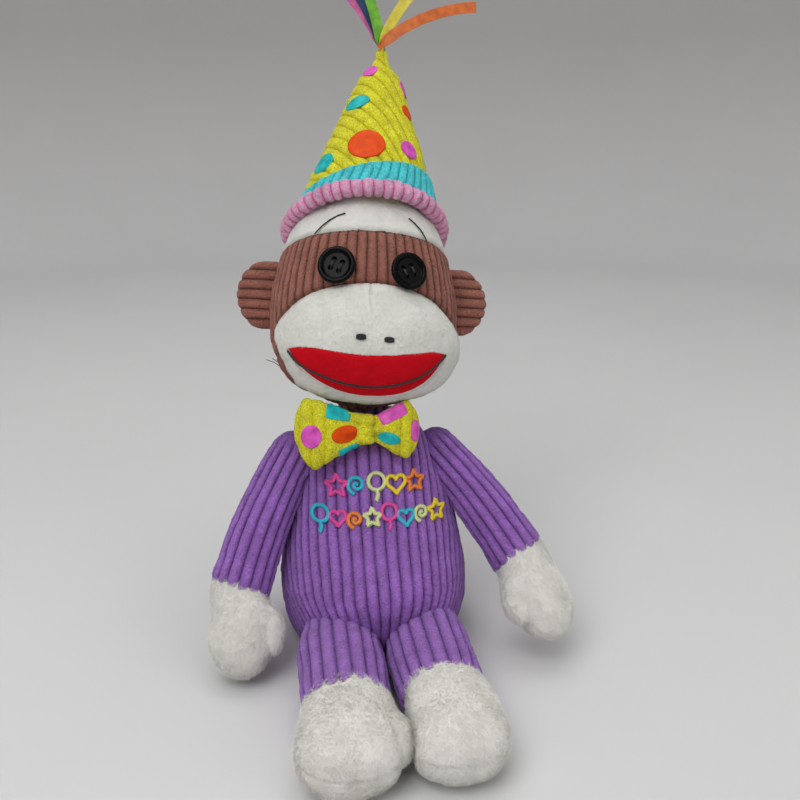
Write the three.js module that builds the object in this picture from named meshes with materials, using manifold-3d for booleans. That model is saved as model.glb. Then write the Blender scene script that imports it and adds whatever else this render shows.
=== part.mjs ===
// A seated plush monkey in a birthday outfit: ribbed purple suit, long-pile white mittens and feet,
// a banded head with button eyes and a wide smile, a pinched bow tie and a pointed party hat with ribbons.
// Every fabric cover is a thin shell with its own stuffing inside, and each sewn hinge (neck, shoulders,
// wrists, hips, ankles, ears, ribbon roots) is a pivot with room to turn.
// Millimetres and degrees. +Z is up, the monkey faces -Y, its own left is +X, and the origin is on the
// supporting surface under the middle of the seat.

import * as THREE from "three";
import { mergeVertices } from "three/addons/utils/BufferGeometryUtils.js";
import Module from "manifold-3d";

// ---- Driving dimensions ------------------------------------------------------------------------------

const GAP = 0.3; // between covers, stuffing and neighbours that touch
const COVER = 2.0; // thickness of ribbed and plush cloth
const PACKING_GAP = 1.2; // the body's stuffing is looser in its cover
const ROOT_ROOM = 4; // left in a limb's stuffing around the root of its hand or foot

const TORSO_RECLINE = 14;
const TORSO_DEPTH = 0.84; // depth over width
const BELLY = { swell: 0.34, z: 24, spread: 30 }; // how far the front fills out, where and over what height
const TORSO_PROFILE = [
  [0, -9], [22, -8.5], [38, -4], [46, 5], [50, 18], [51, 34], [49.5, 50], [46, 66], [42, 81], [38, 95],
  [33.5, 107], [27, 117.5], [19.5, 124], [10, 127.4], [0, 128],
]; // half width, height along the spine
const NECK_HEIGHT = 130; // neck pivot above the seat, along the spine
const NECK_OPENING = 17;

const NECK_TUBE = { radius: 13, below: 6, above: 13 };

const HEAD_TILT_BACK = 6; // on top of the torso's recline
const HEAD_LEAN = 4; // crown leaning towards the monkey's left
const HEAD_SHIFT = -3;
const HEAD_DEPTH = 0.9;
const HEAD_PROFILE = [
  [0, 3], [18, 3.5], [32, 7], [42, 14], [49, 26], [52, 40], [51.6, 54], [49.5, 68], [46.5, 80], [43.5, 90],
  [40, 98], [34, 107], [25, 114.5], [12, 119], [0, 120],
];
const HEAD_COLLAR = { radius: 27, top: 4 }; // room under the head for the neck and shoulders
const MUZZLE = { radii: [49, 33, 30], at: [0, -23, 30] };
const MUZZLE_SEAM = { radii: [60, 60, 31], at: [0, -48, 28] }; // the muzzle panel is what lies inside this
const BROW_HEIGHT = 82; // seam between the ribbed face band and the white forehead, on the ears' line
const BROW_TILT = 9; // that seam rises towards the front
const BACK_SEAM = 8; // the side seam runs this far behind the ears' line
const JAW_SEAM = 22; // under this height the back panel comes forward to the muzzle

const EYE = { radius: 10, thickness: 4, x: 19.5, z: 69, faceRadius: 50.3, standoff: 1.6, holeSpacing: 4.4, holeRadius: 1.2 };
const MOUTH = { halfWidth: 42, cornerHeight: 25, topHeight: 22, bottomHeight: 0, thickness: 1.2 };

const EAR = { radii: [17.5, 6.2, 19], at: [53, 3, 58], room: 2.6 };

const BRIM = { radius: 43, roll: 5.4, y: 3, z: 96, tiltBack: 20 };
const BAND = { from: 6.5, to: 22, thickness: 1.6 };
const HAT = { base: 42, height: 103, tipForward: 30, tipLeft: 8, tipRadius: 3 };
const RIBBON = { width: 6, thickness: 0.5, pitch: 0.9, length: 60, sway: 18, clear: 2.2 };
// lean is how far a ribbon's root slants towards the monkey's left, curl how much further it slants by its end.
const RIBBONS = {
  orange: { lean: 48, curl: 32 },
  yellow: { lean: 24, curl: 26 },
  green: { lean: -10, curl: -8 },
  navy: { lean: -26, curl: -8 },
  pink: { lean: -34, curl: -6 },
};

const ARM = { cuff: 72, ball: 12 };
const SLEEVE_PROFILE = [[0, -13.4], [7.5, -11.2], [11.9, -6], [13.4, 0], [14, 16], [14.8, 36], [15.4, 56], [15.8, ARM.cuff]];
const SLEEVE_DEPTH = 0.94;
const HAND_PROFILE = [[0, 2.4], [7.5, 3.2], [11.6, 6.4], [15, 10.4], [17.6, 16.5], [18.6, 26], [17, 37], [12.5, 46], [6, 51.3], [0, 52.5]];
const HAND_DEPTH = 0.76;
const HAND_THUMB = { radii: [7, 7.5, 14], at: [14, 0, 25], tilt: 9 };
// sleeve and hand are the directions each runs in; facing is where the back of the hand looks.
const ARMS = {
  right: { side: -1, shoulder: [-42, 19, 101], sleeve: [-28, -31, -54], hand: [-7, -36, -37], facing: [-0.2, -0.65, 0.7] },
  left: { side: 1, shoulder: [38, 23, 98], sleeve: [38, -36, -47], hand: [17, -37, -30], facing: [0.35, -0.6, 0.7] },
};

const LEG = { hip: 17.6, cuff: 62, ball: 14.6 };
const LEG_PROFILE = [[0, -16.5], [9, -14], [14.5, -8], [16.5, 0], [18.6, 12], [20.2, 28], [20.6, 46], [20.4, LEG.cuff]];
const LEG_DEPTH = 0.85;
const FOOT_PROFILE = [[0, 2], [11, 3], [16.5, 7], [20.5, 11.5], [23.4, 19], [24, 29], [21.5, 39], [15.5, 46.5], [8, 50.2], [0, 51]];
const FOOT_DEPTH = 0.74;
const FOOT_TOE = { radii: [10, 10.5, 15], at: [15, 0, 23], tilt: 10 };
// heading is how far a leg points away from straight ahead, towards the monkey's left.
const LEGS = {
  right: { side: -1, hip: [-23, -31], heading: -3 },
  left: { side: 1, hip: [22, -28], heading: 0.5 },
};
const LEG_SWING = [-35, -5, 25];
const ARM_SWING = [0, 27, 54, 80];

const BOW = { halfWidth: 34, height: 37, pinch: 14, depth: 14, x: -5, y: -35, z: 118, tilt: 3 };
const KNOT = { width: 9, height: 17, depth: 16 };

const POUCH = { radius: 29, height: 18, y: 5, z: 4.5 };

// ---- Colours -----------------------------------------------------------------------------------------

const cloth = (color, roughness = 0.95) => new THREE.MeshStandardMaterial({ color, roughness, metalness: 0 });
const PURPLE = cloth(0x7d4bb0);
const BROWN = cloth(0x7a4a40);
const WHITE_PLUSH = cloth(0xe9e6df);
const YELLOW = cloth(0xe6e033);
const BLUE = cloth(0x52c8d4);
const PINK = cloth(0xe889bb);
const RED = cloth(0xb80f22, 0.7);
const FIBRE = cloth(0xf4f3ee);
const CALICO = cloth(0xd8cdb4);
const BLACK_PLASTIC = cloth(0x0b0b0c, 0.25);
const THREAD = cloth(0x111112, 0.8);
const RIBBON_COLOURS = {
  orange: cloth(0xdc6410, 0.5),
  yellow: cloth(0xe8d83a, 0.5),
  green: cloth(0x6fb52c, 0.5),
  navy: cloth(0x123a63, 0.5),
  pink: cloth(0xd964a4, 0.5),
};

// ---- Solids ------------------------------------------------------------------------------------------

const wasm = await Module();
wasm.setup();

const radians = THREE.MathUtils.degToRad;
const sin = (degrees) => Math.sin(radians(degrees));
const cos = (degrees) => Math.cos(radians(degrees));

// A closed geometry as a manifold solid, with its poles' collapsed triangles dropped.
function solidOf(geometry) {
  const bare = new THREE.BufferGeometry();
  const plain = geometry.index ? geometry.toNonIndexed() : geometry;
  bare.setAttribute("position", plain.getAttribute("position"));
  const merged = mergeVertices(bare, 1e-4);
  const triangles = [];
  for (let i = 0; i < merged.index.count; i += 3) {
    const corner = [0, 1, 2].map((k) => merged.index.getX(i + k));
    if (new Set(corner).size === 3) triangles.push(...corner);
  }
  return new wasm.Manifold(new wasm.Mesh({
    numProp: 3,
    vertProperties: new Float32Array(merged.getAttribute("position").array),
    triVerts: new Uint32Array(triangles),
  }));
}

function geometryOf(solid) {
  const mesh = solid.getMesh();
  const positions = new Float32Array(mesh.numVert * 3);
  for (let i = 0; i < mesh.numVert; i++) {
    positions.set(mesh.vertProperties.subarray(i * mesh.numProp, i * mesh.numProp + 3), i * 3);
  }
  const geometry = new THREE.BufferGeometry();
  geometry.setAttribute("position", new THREE.BufferAttribute(positions, 3));
  geometry.setIndex(new THREE.BufferAttribute(new Uint32Array(mesh.triVerts), 1));
  geometry.computeVertexNormals();
  return geometry;
}

const joined = (first, ...rest) => rest.reduce((whole, next) => whole.add(next), first);
const cut = (solid, ...tools) => tools.reduce((left, tool) => left.subtract(tool), solid);
const common = (first, ...rest) => rest.reduce((shared, next) => shared.intersect(next), first);

function moved(solid, { at = [0, 0, 0], turn = [0, 0, 0], stretch = [1, 1, 1] }) {
  const matrix = new THREE.Matrix4().compose(
    new THREE.Vector3(...at),
    new THREE.Quaternion().setFromEuler(new THREE.Euler(...turn.map(radians))),
    new THREE.Vector3(...stretch),
  );
  return solid.transform(matrix.elements);
}

// A solid of one frame, seen from another.
function seenFrom(frame, solid, own) {
  const matrix = frame.matrixWorld.clone().invert().multiply(own.matrixWorld);
  return solid.transform(matrix.elements);
}

// ---- Shapes ------------------------------------------------------------------------------------------

// A body of revolution about +Z through [radius, height] points, smoothed, squeezed front to back, then
// shaped by a formula.
function turned(profile, { deep = 1, rows = 12, around = 24, shape = null } = {}) {
  const points = new THREE.SplineCurve(profile.map(([r, z]) => new THREE.Vector2(r, z))).getPoints(rows);
  for (const point of points) point.x = Math.max(point.x, 0);
  points[0].x = 0;
  if (profile.at(-1)[0] > 0) points.push(new THREE.Vector2(0, profile.at(-1)[1]));
  points.at(-1).x = 0;
  return lathed(points, around, (x, y, z) => (shape ? shape(x, y * deep, z) : [x, y * deep, z]));
}

function lathed(points, around, shape) {
  const geometry = new THREE.LatheGeometry(points, around).rotateX(Math.PI / 2);
  const position = geometry.getAttribute("position");
  for (let i = 0; i < position.count; i++) {
    position.setXYZ(i, ...shape(position.getX(i), position.getY(i), position.getZ(i)));
  }
  const solid = solidOf(geometry);
  return solid.volume() < 0 ? solidOf(flipped(geometry)) : solid;
}

function flipped(geometry) {
  const plain = geometry.index ? geometry.toNonIndexed() : geometry;
  const position = plain.getAttribute("position");
  const vertex = [0, 1, 2].map(() => new THREE.Vector3());
  for (let i = 0; i < position.count; i += 3) {
    vertex.forEach((v, k) => v.fromBufferAttribute(position, i + k));
    position.setXYZ(i + 1, vertex[2].x, vertex[2].y, vertex[2].z);
    position.setXYZ(i + 2, vertex[1].x, vertex[1].y, vertex[1].z);
  }
  return plain;
}

// The same profile, inset by a cloth's thickness; an open end keeps its height.
function inset(profile, wall) {
  const open = profile.at(-1)[0] > 0;
  const bottom = profile[0][1];
  const top = profile.at(-1)[1];
  const span = top - bottom;
  return profile.map(([r, z]) => {
    const share = (z - bottom) / span;
    const rise = open ? wall * (1 - share) : wall * (1 - 2 * share);
    return [Math.max(r - wall, 0), z + rise];
  });
}

function ball(radius, { at, around = 20 } = {}) {
  return ellipsoid([radius, radius, radius], { at, around });
}

function ellipsoid(radii, { at = [0, 0, 0], turn = [0, 0, 0], around = 20 } = {}) {
  return moved(solidOf(new THREE.SphereGeometry(1, around, around / 2)), { at, turn, stretch: radii });
}

function box(low, high) {
  const size = high.map((value, k) => value - low[k]);
  const centre = high.map((value, k) => (value + low[k]) / 2);
  return solidOf(new THREE.BoxGeometry(...size).translate(...centre));
}

function cylinder(radius, low, high, around = 28) {
  const geometry = new THREE.CylinderGeometry(radius, radius, high - low, around);
  return solidOf(geometry.rotateX(Math.PI / 2).translate(0, 0, (low + high) / 2));
}

// A named piece; slivers that a cut leaves beside it are dropped.
function mesh(name, solid, material) {
  const piece = solid.decompose().reduce((large, next) => (next.volume() > large.volume() ? next : large));
  const made = new THREE.Mesh(geometryOf(piece), material);
  made.name = name;
  return made;
}

// ---- Frames ------------------------------------------------------------------------------------------

const monkey = new THREE.Group();
const torso = new THREE.Group();
torso.rotation.x = radians(-TORSO_RECLINE);
monkey.add(torso);

const head = new THREE.Group();
head.position.set(HEAD_SHIFT, 0, NECK_HEIGHT);
head.rotation.set(radians(-HEAD_TILT_BACK), radians(HEAD_LEAN), 0);
torso.add(head);

const hat = new THREE.Group();
hat.position.set(0, BRIM.y, BRIM.z);
hat.rotation.x = radians(-BRIM.tiltBack);
head.add(hat);

const bow = new THREE.Group();
bow.position.set(BOW.x, BOW.y, BOW.z);
bow.rotation.y = radians(BOW.tilt);
torso.add(bow);

// A frame whose -Z runs along a limb and whose -Y looks out of its upper side.
function limbFrame(position, reach, facing) {
  const up = new THREE.Vector3(...reach).normalize().negate();
  const back = new THREE.Vector3(...facing);
  back.addScaledVector(up, -back.dot(up)).normalize().negate();
  const across = new THREE.Vector3().crossVectors(back, up);
  const frame = new THREE.Group();
  frame.position.set(...position);
  frame.quaternion.setFromRotationMatrix(new THREE.Matrix4().makeBasis(across, back, up));
  monkey.add(frame);
  return frame;
}

const headings = {};
const armFrames = {};
const handFrames = {};
const legFrames = {};
for (const side of ["right", "left"]) {
  const arm = ARMS[side];
  armFrames[side] = limbFrame(arm.shoulder, arm.sleeve, arm.facing);
  const wrist = new THREE.Vector3(...arm.sleeve).setLength(ARM.cuff).add(armFrames[side].position);
  handFrames[side] = limbFrame(wrist.toArray(), arm.hand, arm.facing);
  const { hip, heading } = LEGS[side];
  headings[side] = [sin(heading), -cos(heading), 0];
  legFrames[side] = limbFrame([...hip, LEG.hip], headings[side], [0, 0, 1]);
}
monkey.updateMatrixWorld(true);

// ---- Limbs -------------------------------------------------------------------------------------------

const alongLimb = (solid) => moved(solid, { turn: [180, 0, 0] });

// A cover closed at its root and open at its cuff, the stuffing inside it, and the room its swing needs.
function tube(profile, depth, cuff, ballRadius) {
  const form = (wall) => turned(wall ? inset(profile, wall) : profile, { deep: depth, rows: 5, around: 14 });
  const openEnd = common(form(COVER), box([-60, -60, cuff - 3], [60, 60, cuff + 9]));
  const beyond = joined(openEnd, moved(openEnd, { at: [0, 0, 2] }));
  const cover = cut(form(0), form(COVER), beyond);
  const stuffing = cut(form(COVER + GAP), ball(ballRadius + ROOT_ROOM, { at: [0, 0, cuff], around: 12 }));
  return { cover: alongLimb(cover), stuffing: alongLimb(stuffing) };
}

const room = (radius, length) => alongLimb(joined(ball(radius, { around: 10 }), cylinder(radius, 0, length, 10)));

// A mitten-shaped end: a flat main lobe, a thumb or great toe on its inner side, and a ball in the cuff.
function mitten(profile, depth, digitAt, ballRadius, wall) {
  const lobe = turned(wall ? inset(profile, wall) : profile, { deep: depth, rows: 7, around: 14 });
  const digit = ellipsoid(digitAt.radii.map((r) => r - wall), {
    at: digitAt.at, turn: [0, digitAt.tilt, 0], around: 8,
  });
  return joined(lobe, digit, ball(ballRadius - wall, { around: 10 }));
}

function cuffedEnd(profile, depth, digit, side, ballRadius, start) {
  const digitAt = { ...digit, at: [-side * digit.at[0], digit.at[1], digit.at[2]], tilt: -side * digit.tilt };
  const form = (wall) => mitten(profile, depth, digitAt, ballRadius, wall);
  const mouth = cylinder(5, -20, 0, 8); // the gathered end of the cover stays open inside the cuff
  const place = (solid) => moved(alongLimb(solid), { at: [0, 0, -start] });
  return { cover: place(cut(form(0), form(COVER), mouth)), stuffing: place(form(COVER + GAP)) };
}

// ---- Torso -------------------------------------------------------------------------------------------

const table = seenFrom(torso, box([-300, -300, -80], [300, 300, 0]), monkey);

// The horizontal axis square to a limb, about which a positive turn raises it.
function raiseAxis([x, y]) {
  return new THREE.Vector3(-y, x, 0).normalize();
}

function swept(solid, frame, axis, angles) {
  const pivot = frame.position;
  return joined(...angles.map((angle) => {
    const swing = new THREE.Matrix4().makeTranslation(pivot)
      .multiply(new THREE.Matrix4().makeRotationAxis(axis, radians(-angle)))
      .multiply(new THREE.Matrix4().makeTranslation(pivot.clone().negate()))
      .multiply(frame.matrixWorld);
    return solid.transform(swing.elements);
  }));
}

const limbRoom = joined(...["right", "left"].flatMap((side) => [
  swept(room(16.1, 42), armFrames[side], raiseAxis(ARMS[side].sleeve), ARM_SWING),
  swept(moved(room(21.4, 48), { stretch: [1, 0.88, 1] }), legFrames[side], raiseAxis(headings[side]), LEG_SWING),
])).transform(torso.matrixWorld.clone().invert().elements);

const belly = (x, y, z) => [x, y < 0 ? y * (1 + BELLY.swell * Math.exp(-(((z - BELLY.z) / BELLY.spread) ** 2))) : y, z];
const torsoForm = (wall) => turned(
  wall ? inset(TORSO_PROFILE, wall) : TORSO_PROFILE,
  { deep: TORSO_DEPTH, rows: 10, around: 20, shape: belly },
);
const torsoHollow = (wall) => cut(torsoForm(wall), moved(table, { at: [0, 0, wall] }));
const neckHole = cylinder(NECK_OPENING, NECK_HEIGHT - 14, NECK_HEIGHT + 20, 24);
const torsoShell = cut(torsoForm(0), torsoHollow(COVER), table, neckHole, limbRoom);
const pouchForm = (grow) => moved(
  ellipsoid([POUCH.radius + grow, POUCH.radius * 0.85 + grow, POUCH.height / 2 + grow], { around: 14 }),
  { at: [0, POUCH.y, POUCH.z + POUCH.height / 2], turn: [TORSO_RECLINE, 0, 0] },
);

torso.add(
  mesh("torso_front_panel", common(torsoShell, box([-100, -100, -50], [100, -GAP / 2, 200])), PURPLE),
  mesh("torso_back_panel", common(torsoShell, box([-100, GAP / 2, -50], [100, 100, 200])), PURPLE),
  mesh("torso_stuffing", cut(torsoHollow(COVER + PACKING_GAP), pouchForm(GAP), moved(neckHole, { at: [0, 0, -GAP] }), limbRoom), FIBRE),
  mesh("seat_pellet_pouch", pouchForm(0), CALICO),
);

// ---- Arms and legs -----------------------------------------------------------------------------------

for (const side of ["right", "left"]) {
  const sleeve = tube(SLEEVE_PROFILE, SLEEVE_DEPTH, ARM.cuff, ARM.ball);
  armFrames[side].add(
    mesh(`${side}_sleeve`, sleeve.cover, PURPLE),
    mesh(`${side}_arm_stuffing`, sleeve.stuffing, FIBRE),
  );
  const hand = cuffedEnd(HAND_PROFILE, HAND_DEPTH, HAND_THUMB, ARMS[side].side, ARM.ball, 0);
  handFrames[side].add(
    mesh(`${side}_hand`, hand.cover, WHITE_PLUSH),
    mesh(`${side}_hand_stuffing`, hand.stuffing, FIBRE),
  );
  const leg = tube(LEG_PROFILE, LEG_DEPTH, LEG.cuff, LEG.ball);
  const foot = cuffedEnd(FOOT_PROFILE, FOOT_DEPTH, FOOT_TOE, LEGS[side].side, LEG.ball, LEG.cuff);
  legFrames[side].add(
    mesh(`${side}_trouser_leg`, leg.cover, PURPLE),
    mesh(`${side}_leg_stuffing`, leg.stuffing, FIBRE),
    mesh(`${side}_foot`, foot.cover, WHITE_PLUSH),
    mesh(`${side}_foot_stuffing`, foot.stuffing, FIBRE),
  );
}

// ---- Head --------------------------------------------------------------------------------------------

const neck = cut(
  cylinder(NECK_TUBE.radius, -NECK_TUBE.below, NECK_TUBE.above, 24),
  cylinder(NECK_TUBE.radius - COVER, -30, 30, 24),
);
head.add(mesh("neck_tube", neck, BROWN));

const neckSocket = cylinder(NECK_TUBE.radius + 1.5, -10, NECK_TUBE.above + 2, 24);
const headForm = (wall) => cut(
  joined(
    turned(wall ? inset(HEAD_PROFILE, wall) : HEAD_PROFILE, { deep: HEAD_DEPTH, rows: 10, around: 20 }),
    ellipsoid(MUZZLE.radii.map((r) => r - wall), { at: MUZZLE.at, around: 16 }),
  ),
  cylinder(HEAD_COLLAR.radius, -40, HEAD_COLLAR.top + wall, 24),
);
const headShell = cut(headForm(0), headForm(COVER), neckSocket);

const muzzleZone = (grow) => common(
  ellipsoid(MUZZLE_SEAM.radii.map((r) => r + grow), { at: MUZZLE_SEAM.at, around: 20 }),
  box([-90, -150, -60], [90, BACK_SEAM - 14 + grow, 120]),
);
const aboveBrow = (raise) => moved(box([-90, -90, 0], [90, 90, 90]), { at: [0, 0, BROW_HEIGHT + raise], turn: [-BROW_TILT, 0, 0] });
const behindSeam = (shift) => joined(
  box([-90, BACK_SEAM + shift, -60], [90, 120, 200]),
  box([-90, -120, -60], [90, 120, JAW_SEAM - shift]),
);
const belowBrow = cut(headShell, aboveBrow(-GAP / 2));
head.add(
  mesh("forehead_panel", common(headShell, aboveBrow(GAP / 2)), WHITE_PLUSH),
  mesh("face_band", cut(belowBrow, behindSeam(-GAP / 2), muzzleZone(GAP / 2)), BROWN),
  mesh("head_back_panel", cut(common(belowBrow, behindSeam(GAP / 2)), muzzleZone(GAP / 2)), BROWN),
  mesh("muzzle_panel", common(belowBrow, muzzleZone(-GAP / 2)), WHITE_PLUSH),
  mesh("head_stuffing", cut(headForm(COVER + GAP), moved(neckSocket, { at: [0, 0, 1] }), neckSocket), FIBRE),
);

// The mouth: a felt crescent lying on the muzzle.
const lips = new THREE.Shape();
lips.moveTo(-MOUTH.halfWidth, MOUTH.cornerHeight);
lips.quadraticCurveTo(0, 2 * MOUTH.topHeight - MOUTH.cornerHeight, MOUTH.halfWidth, MOUTH.cornerHeight);
lips.quadraticCurveTo(0, 2 * MOUTH.bottomHeight - MOUTH.cornerHeight, -MOUTH.halfWidth, MOUTH.cornerHeight);
const lipsPrism = solidOf(new THREE.ExtrudeGeometry(lips, { depth: 60, bevelEnabled: false, curveSegments: 9 }).rotateX(Math.PI / 2).translate(0, -30, 0));
head.add(mesh(
  "mouth_patch",
  common(cut(headForm(-GAP - MOUTH.thickness), headForm(-GAP)), lipsPrism),
  RED,
));

// Four-hole buttons on a thread shank, square to the face.
function buttonFrame(side) {
  const y = -HEAD_DEPTH * Math.sqrt(EYE.faceRadius ** 2 - EYE.x ** 2);
  const frame = new THREE.Group();
  frame.position.set(side * EYE.x, y, EYE.z);
  frame.lookAt(side * EYE.x * 1.62, y * 2, EYE.z + 5);
  head.add(frame);
  return frame;
}
const holes = [[-1, -1], [1, -1], [-1, 1], [1, 1]].map(([x, y]) => [x * EYE.holeSpacing / 2, y * EYE.holeSpacing / 2]);
const back = EYE.standoff;
const button = cut(
  turned([[0, back], [7.5, back], [9.4, back + 1.1], [EYE.radius, back + 2.4], [9.3, back + EYE.thickness], [7.4, back + EYE.thickness - 0.3], [6.3, back + 2.9], [0, back + 2.7]], { rows: 8, around: 16 }),
  ...holes.map(([x, y]) => cylinder(EYE.holeRadius, 0, 10, 6).translate([x, y, 0])),
);
const posts = holes.map(([x, y]) => cylinder(EYE.holeRadius - 0.35, 0.9, back + 3.6, 5).translate([x, y, 0]));
const bars = [-1, 1].map((y) => box([-EYE.holeSpacing / 2 - 0.8, y * EYE.holeSpacing / 2 - 0.6, back + 3.1], [EYE.holeSpacing / 2 + 0.8, y * EYE.holeSpacing / 2 + 0.6, back + 3.9]));
const thread = joined(cylinder(4.4, GAP, back - GAP, 16), ...posts, ...bars);

for (const [side, x] of [["right", -1], ["left", 1]]) {
  buttonFrame(x).add(
    mesh(`${side}_eye_button`, button, BLACK_PLASTIC),
    mesh(`${side}_eye_thread`, thread, THREAD),
  );
  const ear = cut(
    ellipsoid(EAR.radii, { at: [x * EAR.at[0], EAR.at[1], EAR.at[2]], around: 14 }),
    headForm(-EAR.room),
  );
  head.add(mesh(`${side}_ear`, ear, BROWN));
}

// ---- Hat ---------------------------------------------------------------------------------------------

// A cone that leans away from square to its brim, offset outwards by grow.
function hatForm(grow, low, high) {
  const radius = (z) => HAT.tipRadius + (HAT.base - HAT.tipRadius) * Math.pow(1 - Math.min(z / HAT.height, 1), 0.82) + grow;
  const rows = 5;
  const points = [new THREE.Vector2(0, low)];
  for (let i = 0; i <= rows; i++) {
    const z = low + (high - low) * i / rows;
    points.push(new THREE.Vector2(radius(z), z));
  }
  points.push(new THREE.Vector2(0, high));
  return lathed(points, 20, (x, y, z) => [
    x + HAT.tipLeft * z / HAT.height,
    y - HAT.tipForward * z / HAT.height,
    z,
  ]);
}

const crown = seenFrom(hat, headForm(-GAP), head);
const roll = solidOf(new THREE.TorusGeometry(BRIM.radius, BRIM.roll, 8, 20));
const hatCone = hatForm(0, 2, HAT.height);
hat.add(
  mesh("hat_cone", cut(hatCone, hatForm(-COVER, -5, HAT.height - 6), crown), YELLOW),
  mesh("hat_band", cut(hatForm(GAP + BAND.thickness, BAND.from, BAND.to), hatForm(GAP, -4, 40), crown), BLUE),
  mesh("hat_brim_roll", cut(roll, hatForm(GAP, -20, 30), crown), PINK),
  mesh("hat_stuffing", cut(hatForm(-COVER - GAP, 1, HAT.height - 7), seenFrom(hat, headForm(-GAP - 0.5), head)), FIBRE),
);

// Ribbons stacked front to back at the hat's tip, each slanting its own way.
const bunch = new THREE.Group();
bunch.position.set(HAT.tipLeft, -HAT.tipForward, HAT.height).applyMatrix4(hat.matrixWorld);
monkey.add(bunch);

function ribbonStrip({ lean, curl }) {
  const pieces = 10;
  const geometry = new THREE.BoxGeometry(RIBBON.width, RIBBON.thickness, RIBBON.length, 1, 1, pieces);
  const position = geometry.getAttribute("position");
  const slant = (s) => lean + curl * Math.pow(s / RIBBON.length, 1.4);
  const along = (s) => {
    let x = 0;
    let z = 0;
    for (let t = 0.5; t < s; t += 1) {
      x += sin(slant(t));
      z += cos(slant(t));
    }
    return [x, z];
  };
  for (let i = 0; i < position.count; i++) {
    const s = position.getZ(i) + RIBBON.length / 2;
    const across = position.getX(i);
    const [x, z] = along(s);
    position.setX(i, x + across * cos(slant(s)));
    position.setZ(i, z - across * sin(slant(s)));
  }
  return solidOf(geometry);
}

Object.entries(RIBBONS).forEach(([colour, spec], layer) => {
  const lift = RIBBON.width / 2 * sin(Math.abs(spec.lean) + RIBBON.sway) + RIBBON.clear;
  const ribbon = mesh(`${colour}_ribbon`, ribbonStrip(spec), RIBBON_COLOURS[colour]);
  ribbon.position.set(0, (layer - 2) * RIBBON.pitch, lift);
  bunch.add(ribbon);
});

// ---- Bow tie -----------------------------------------------------------------------------------------

function bowLoop(side) {
  const geometry = new THREE.SphereGeometry(1, 12, 8);
  const position = geometry.getAttribute("position");
  const flare = (t) => BOW.pinch + (BOW.height - BOW.pinch) * Math.pow(t, 0.8);
  for (let i = 0; i < position.count; i++) {
    const t = (position.getX(i) + 1) / 2;
    const square = (value) => Math.sign(value) * Math.pow(Math.abs(value), 0.7);
    position.setXYZ(
      i,
      t * BOW.halfWidth,
      square(position.getY(i)) * BOW.depth / 2 * (0.55 + 0.45 * t) + 3 * t * t,
      square(position.getZ(i)) * flare(t) / 2,
    );
  }
  const knot = ellipsoid([KNOT.width / 2 + GAP, KNOT.depth / 2 + GAP, KNOT.height / 2 + GAP], { around: 12 });
  return cut(moved(solidOf(geometry), { turn: [0, 0, side > 0 ? 0 : 180] }), knot);
}

const shoulders = seenFrom(bow, joined(torsoForm(-GAP), neckHole), torso);
for (const [side, x] of [["right", -1], ["left", 1]]) {
  bow.add(mesh(`bow_tie_${side}_loop`, cut(bowLoop(x), shoulders), YELLOW));
}
bow.add(mesh("bow_tie_knot", cut(ellipsoid([KNOT.width / 2, KNOT.depth / 2, KNOT.height / 2], { around: 12 }), shoulders), YELLOW));

export default monkey;
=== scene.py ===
import math

import bpy
import numpy as np
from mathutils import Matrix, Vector
from mathutils.bvhtree import BVHTree


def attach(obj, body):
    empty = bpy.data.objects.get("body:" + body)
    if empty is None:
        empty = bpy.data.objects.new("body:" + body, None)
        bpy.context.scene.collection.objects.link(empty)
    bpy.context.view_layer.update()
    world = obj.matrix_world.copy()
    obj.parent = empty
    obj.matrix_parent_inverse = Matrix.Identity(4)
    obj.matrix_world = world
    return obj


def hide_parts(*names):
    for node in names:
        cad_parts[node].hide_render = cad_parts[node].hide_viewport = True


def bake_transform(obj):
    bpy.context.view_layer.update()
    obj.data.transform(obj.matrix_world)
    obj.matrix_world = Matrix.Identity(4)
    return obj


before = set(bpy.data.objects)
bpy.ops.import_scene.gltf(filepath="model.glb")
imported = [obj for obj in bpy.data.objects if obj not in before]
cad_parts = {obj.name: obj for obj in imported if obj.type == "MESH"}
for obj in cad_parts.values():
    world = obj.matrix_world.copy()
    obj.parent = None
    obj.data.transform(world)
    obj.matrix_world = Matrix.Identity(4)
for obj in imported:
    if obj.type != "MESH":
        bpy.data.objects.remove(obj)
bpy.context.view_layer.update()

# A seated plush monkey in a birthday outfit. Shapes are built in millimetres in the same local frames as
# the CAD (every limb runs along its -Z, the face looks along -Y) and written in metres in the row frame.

MM = 0.001

# ---- Camera ------------------------------------------------------------------------------------------

scene = bpy.context.scene
camera_data = bpy.data.cameras.new("camera")
camera_data.sensor_width = 36.0
camera_data.lens = 40.5
camera = bpy.data.objects.new("camera", camera_data)
scene.collection.objects.link(camera)
camera.location = (-0.0484, -0.4473, 0.283)
camera.rotation_euler = (math.radians(72), 0, math.radians(-8))
scene.camera = camera

# ---- Frames ------------------------------------------------------------------------------------------

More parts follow.
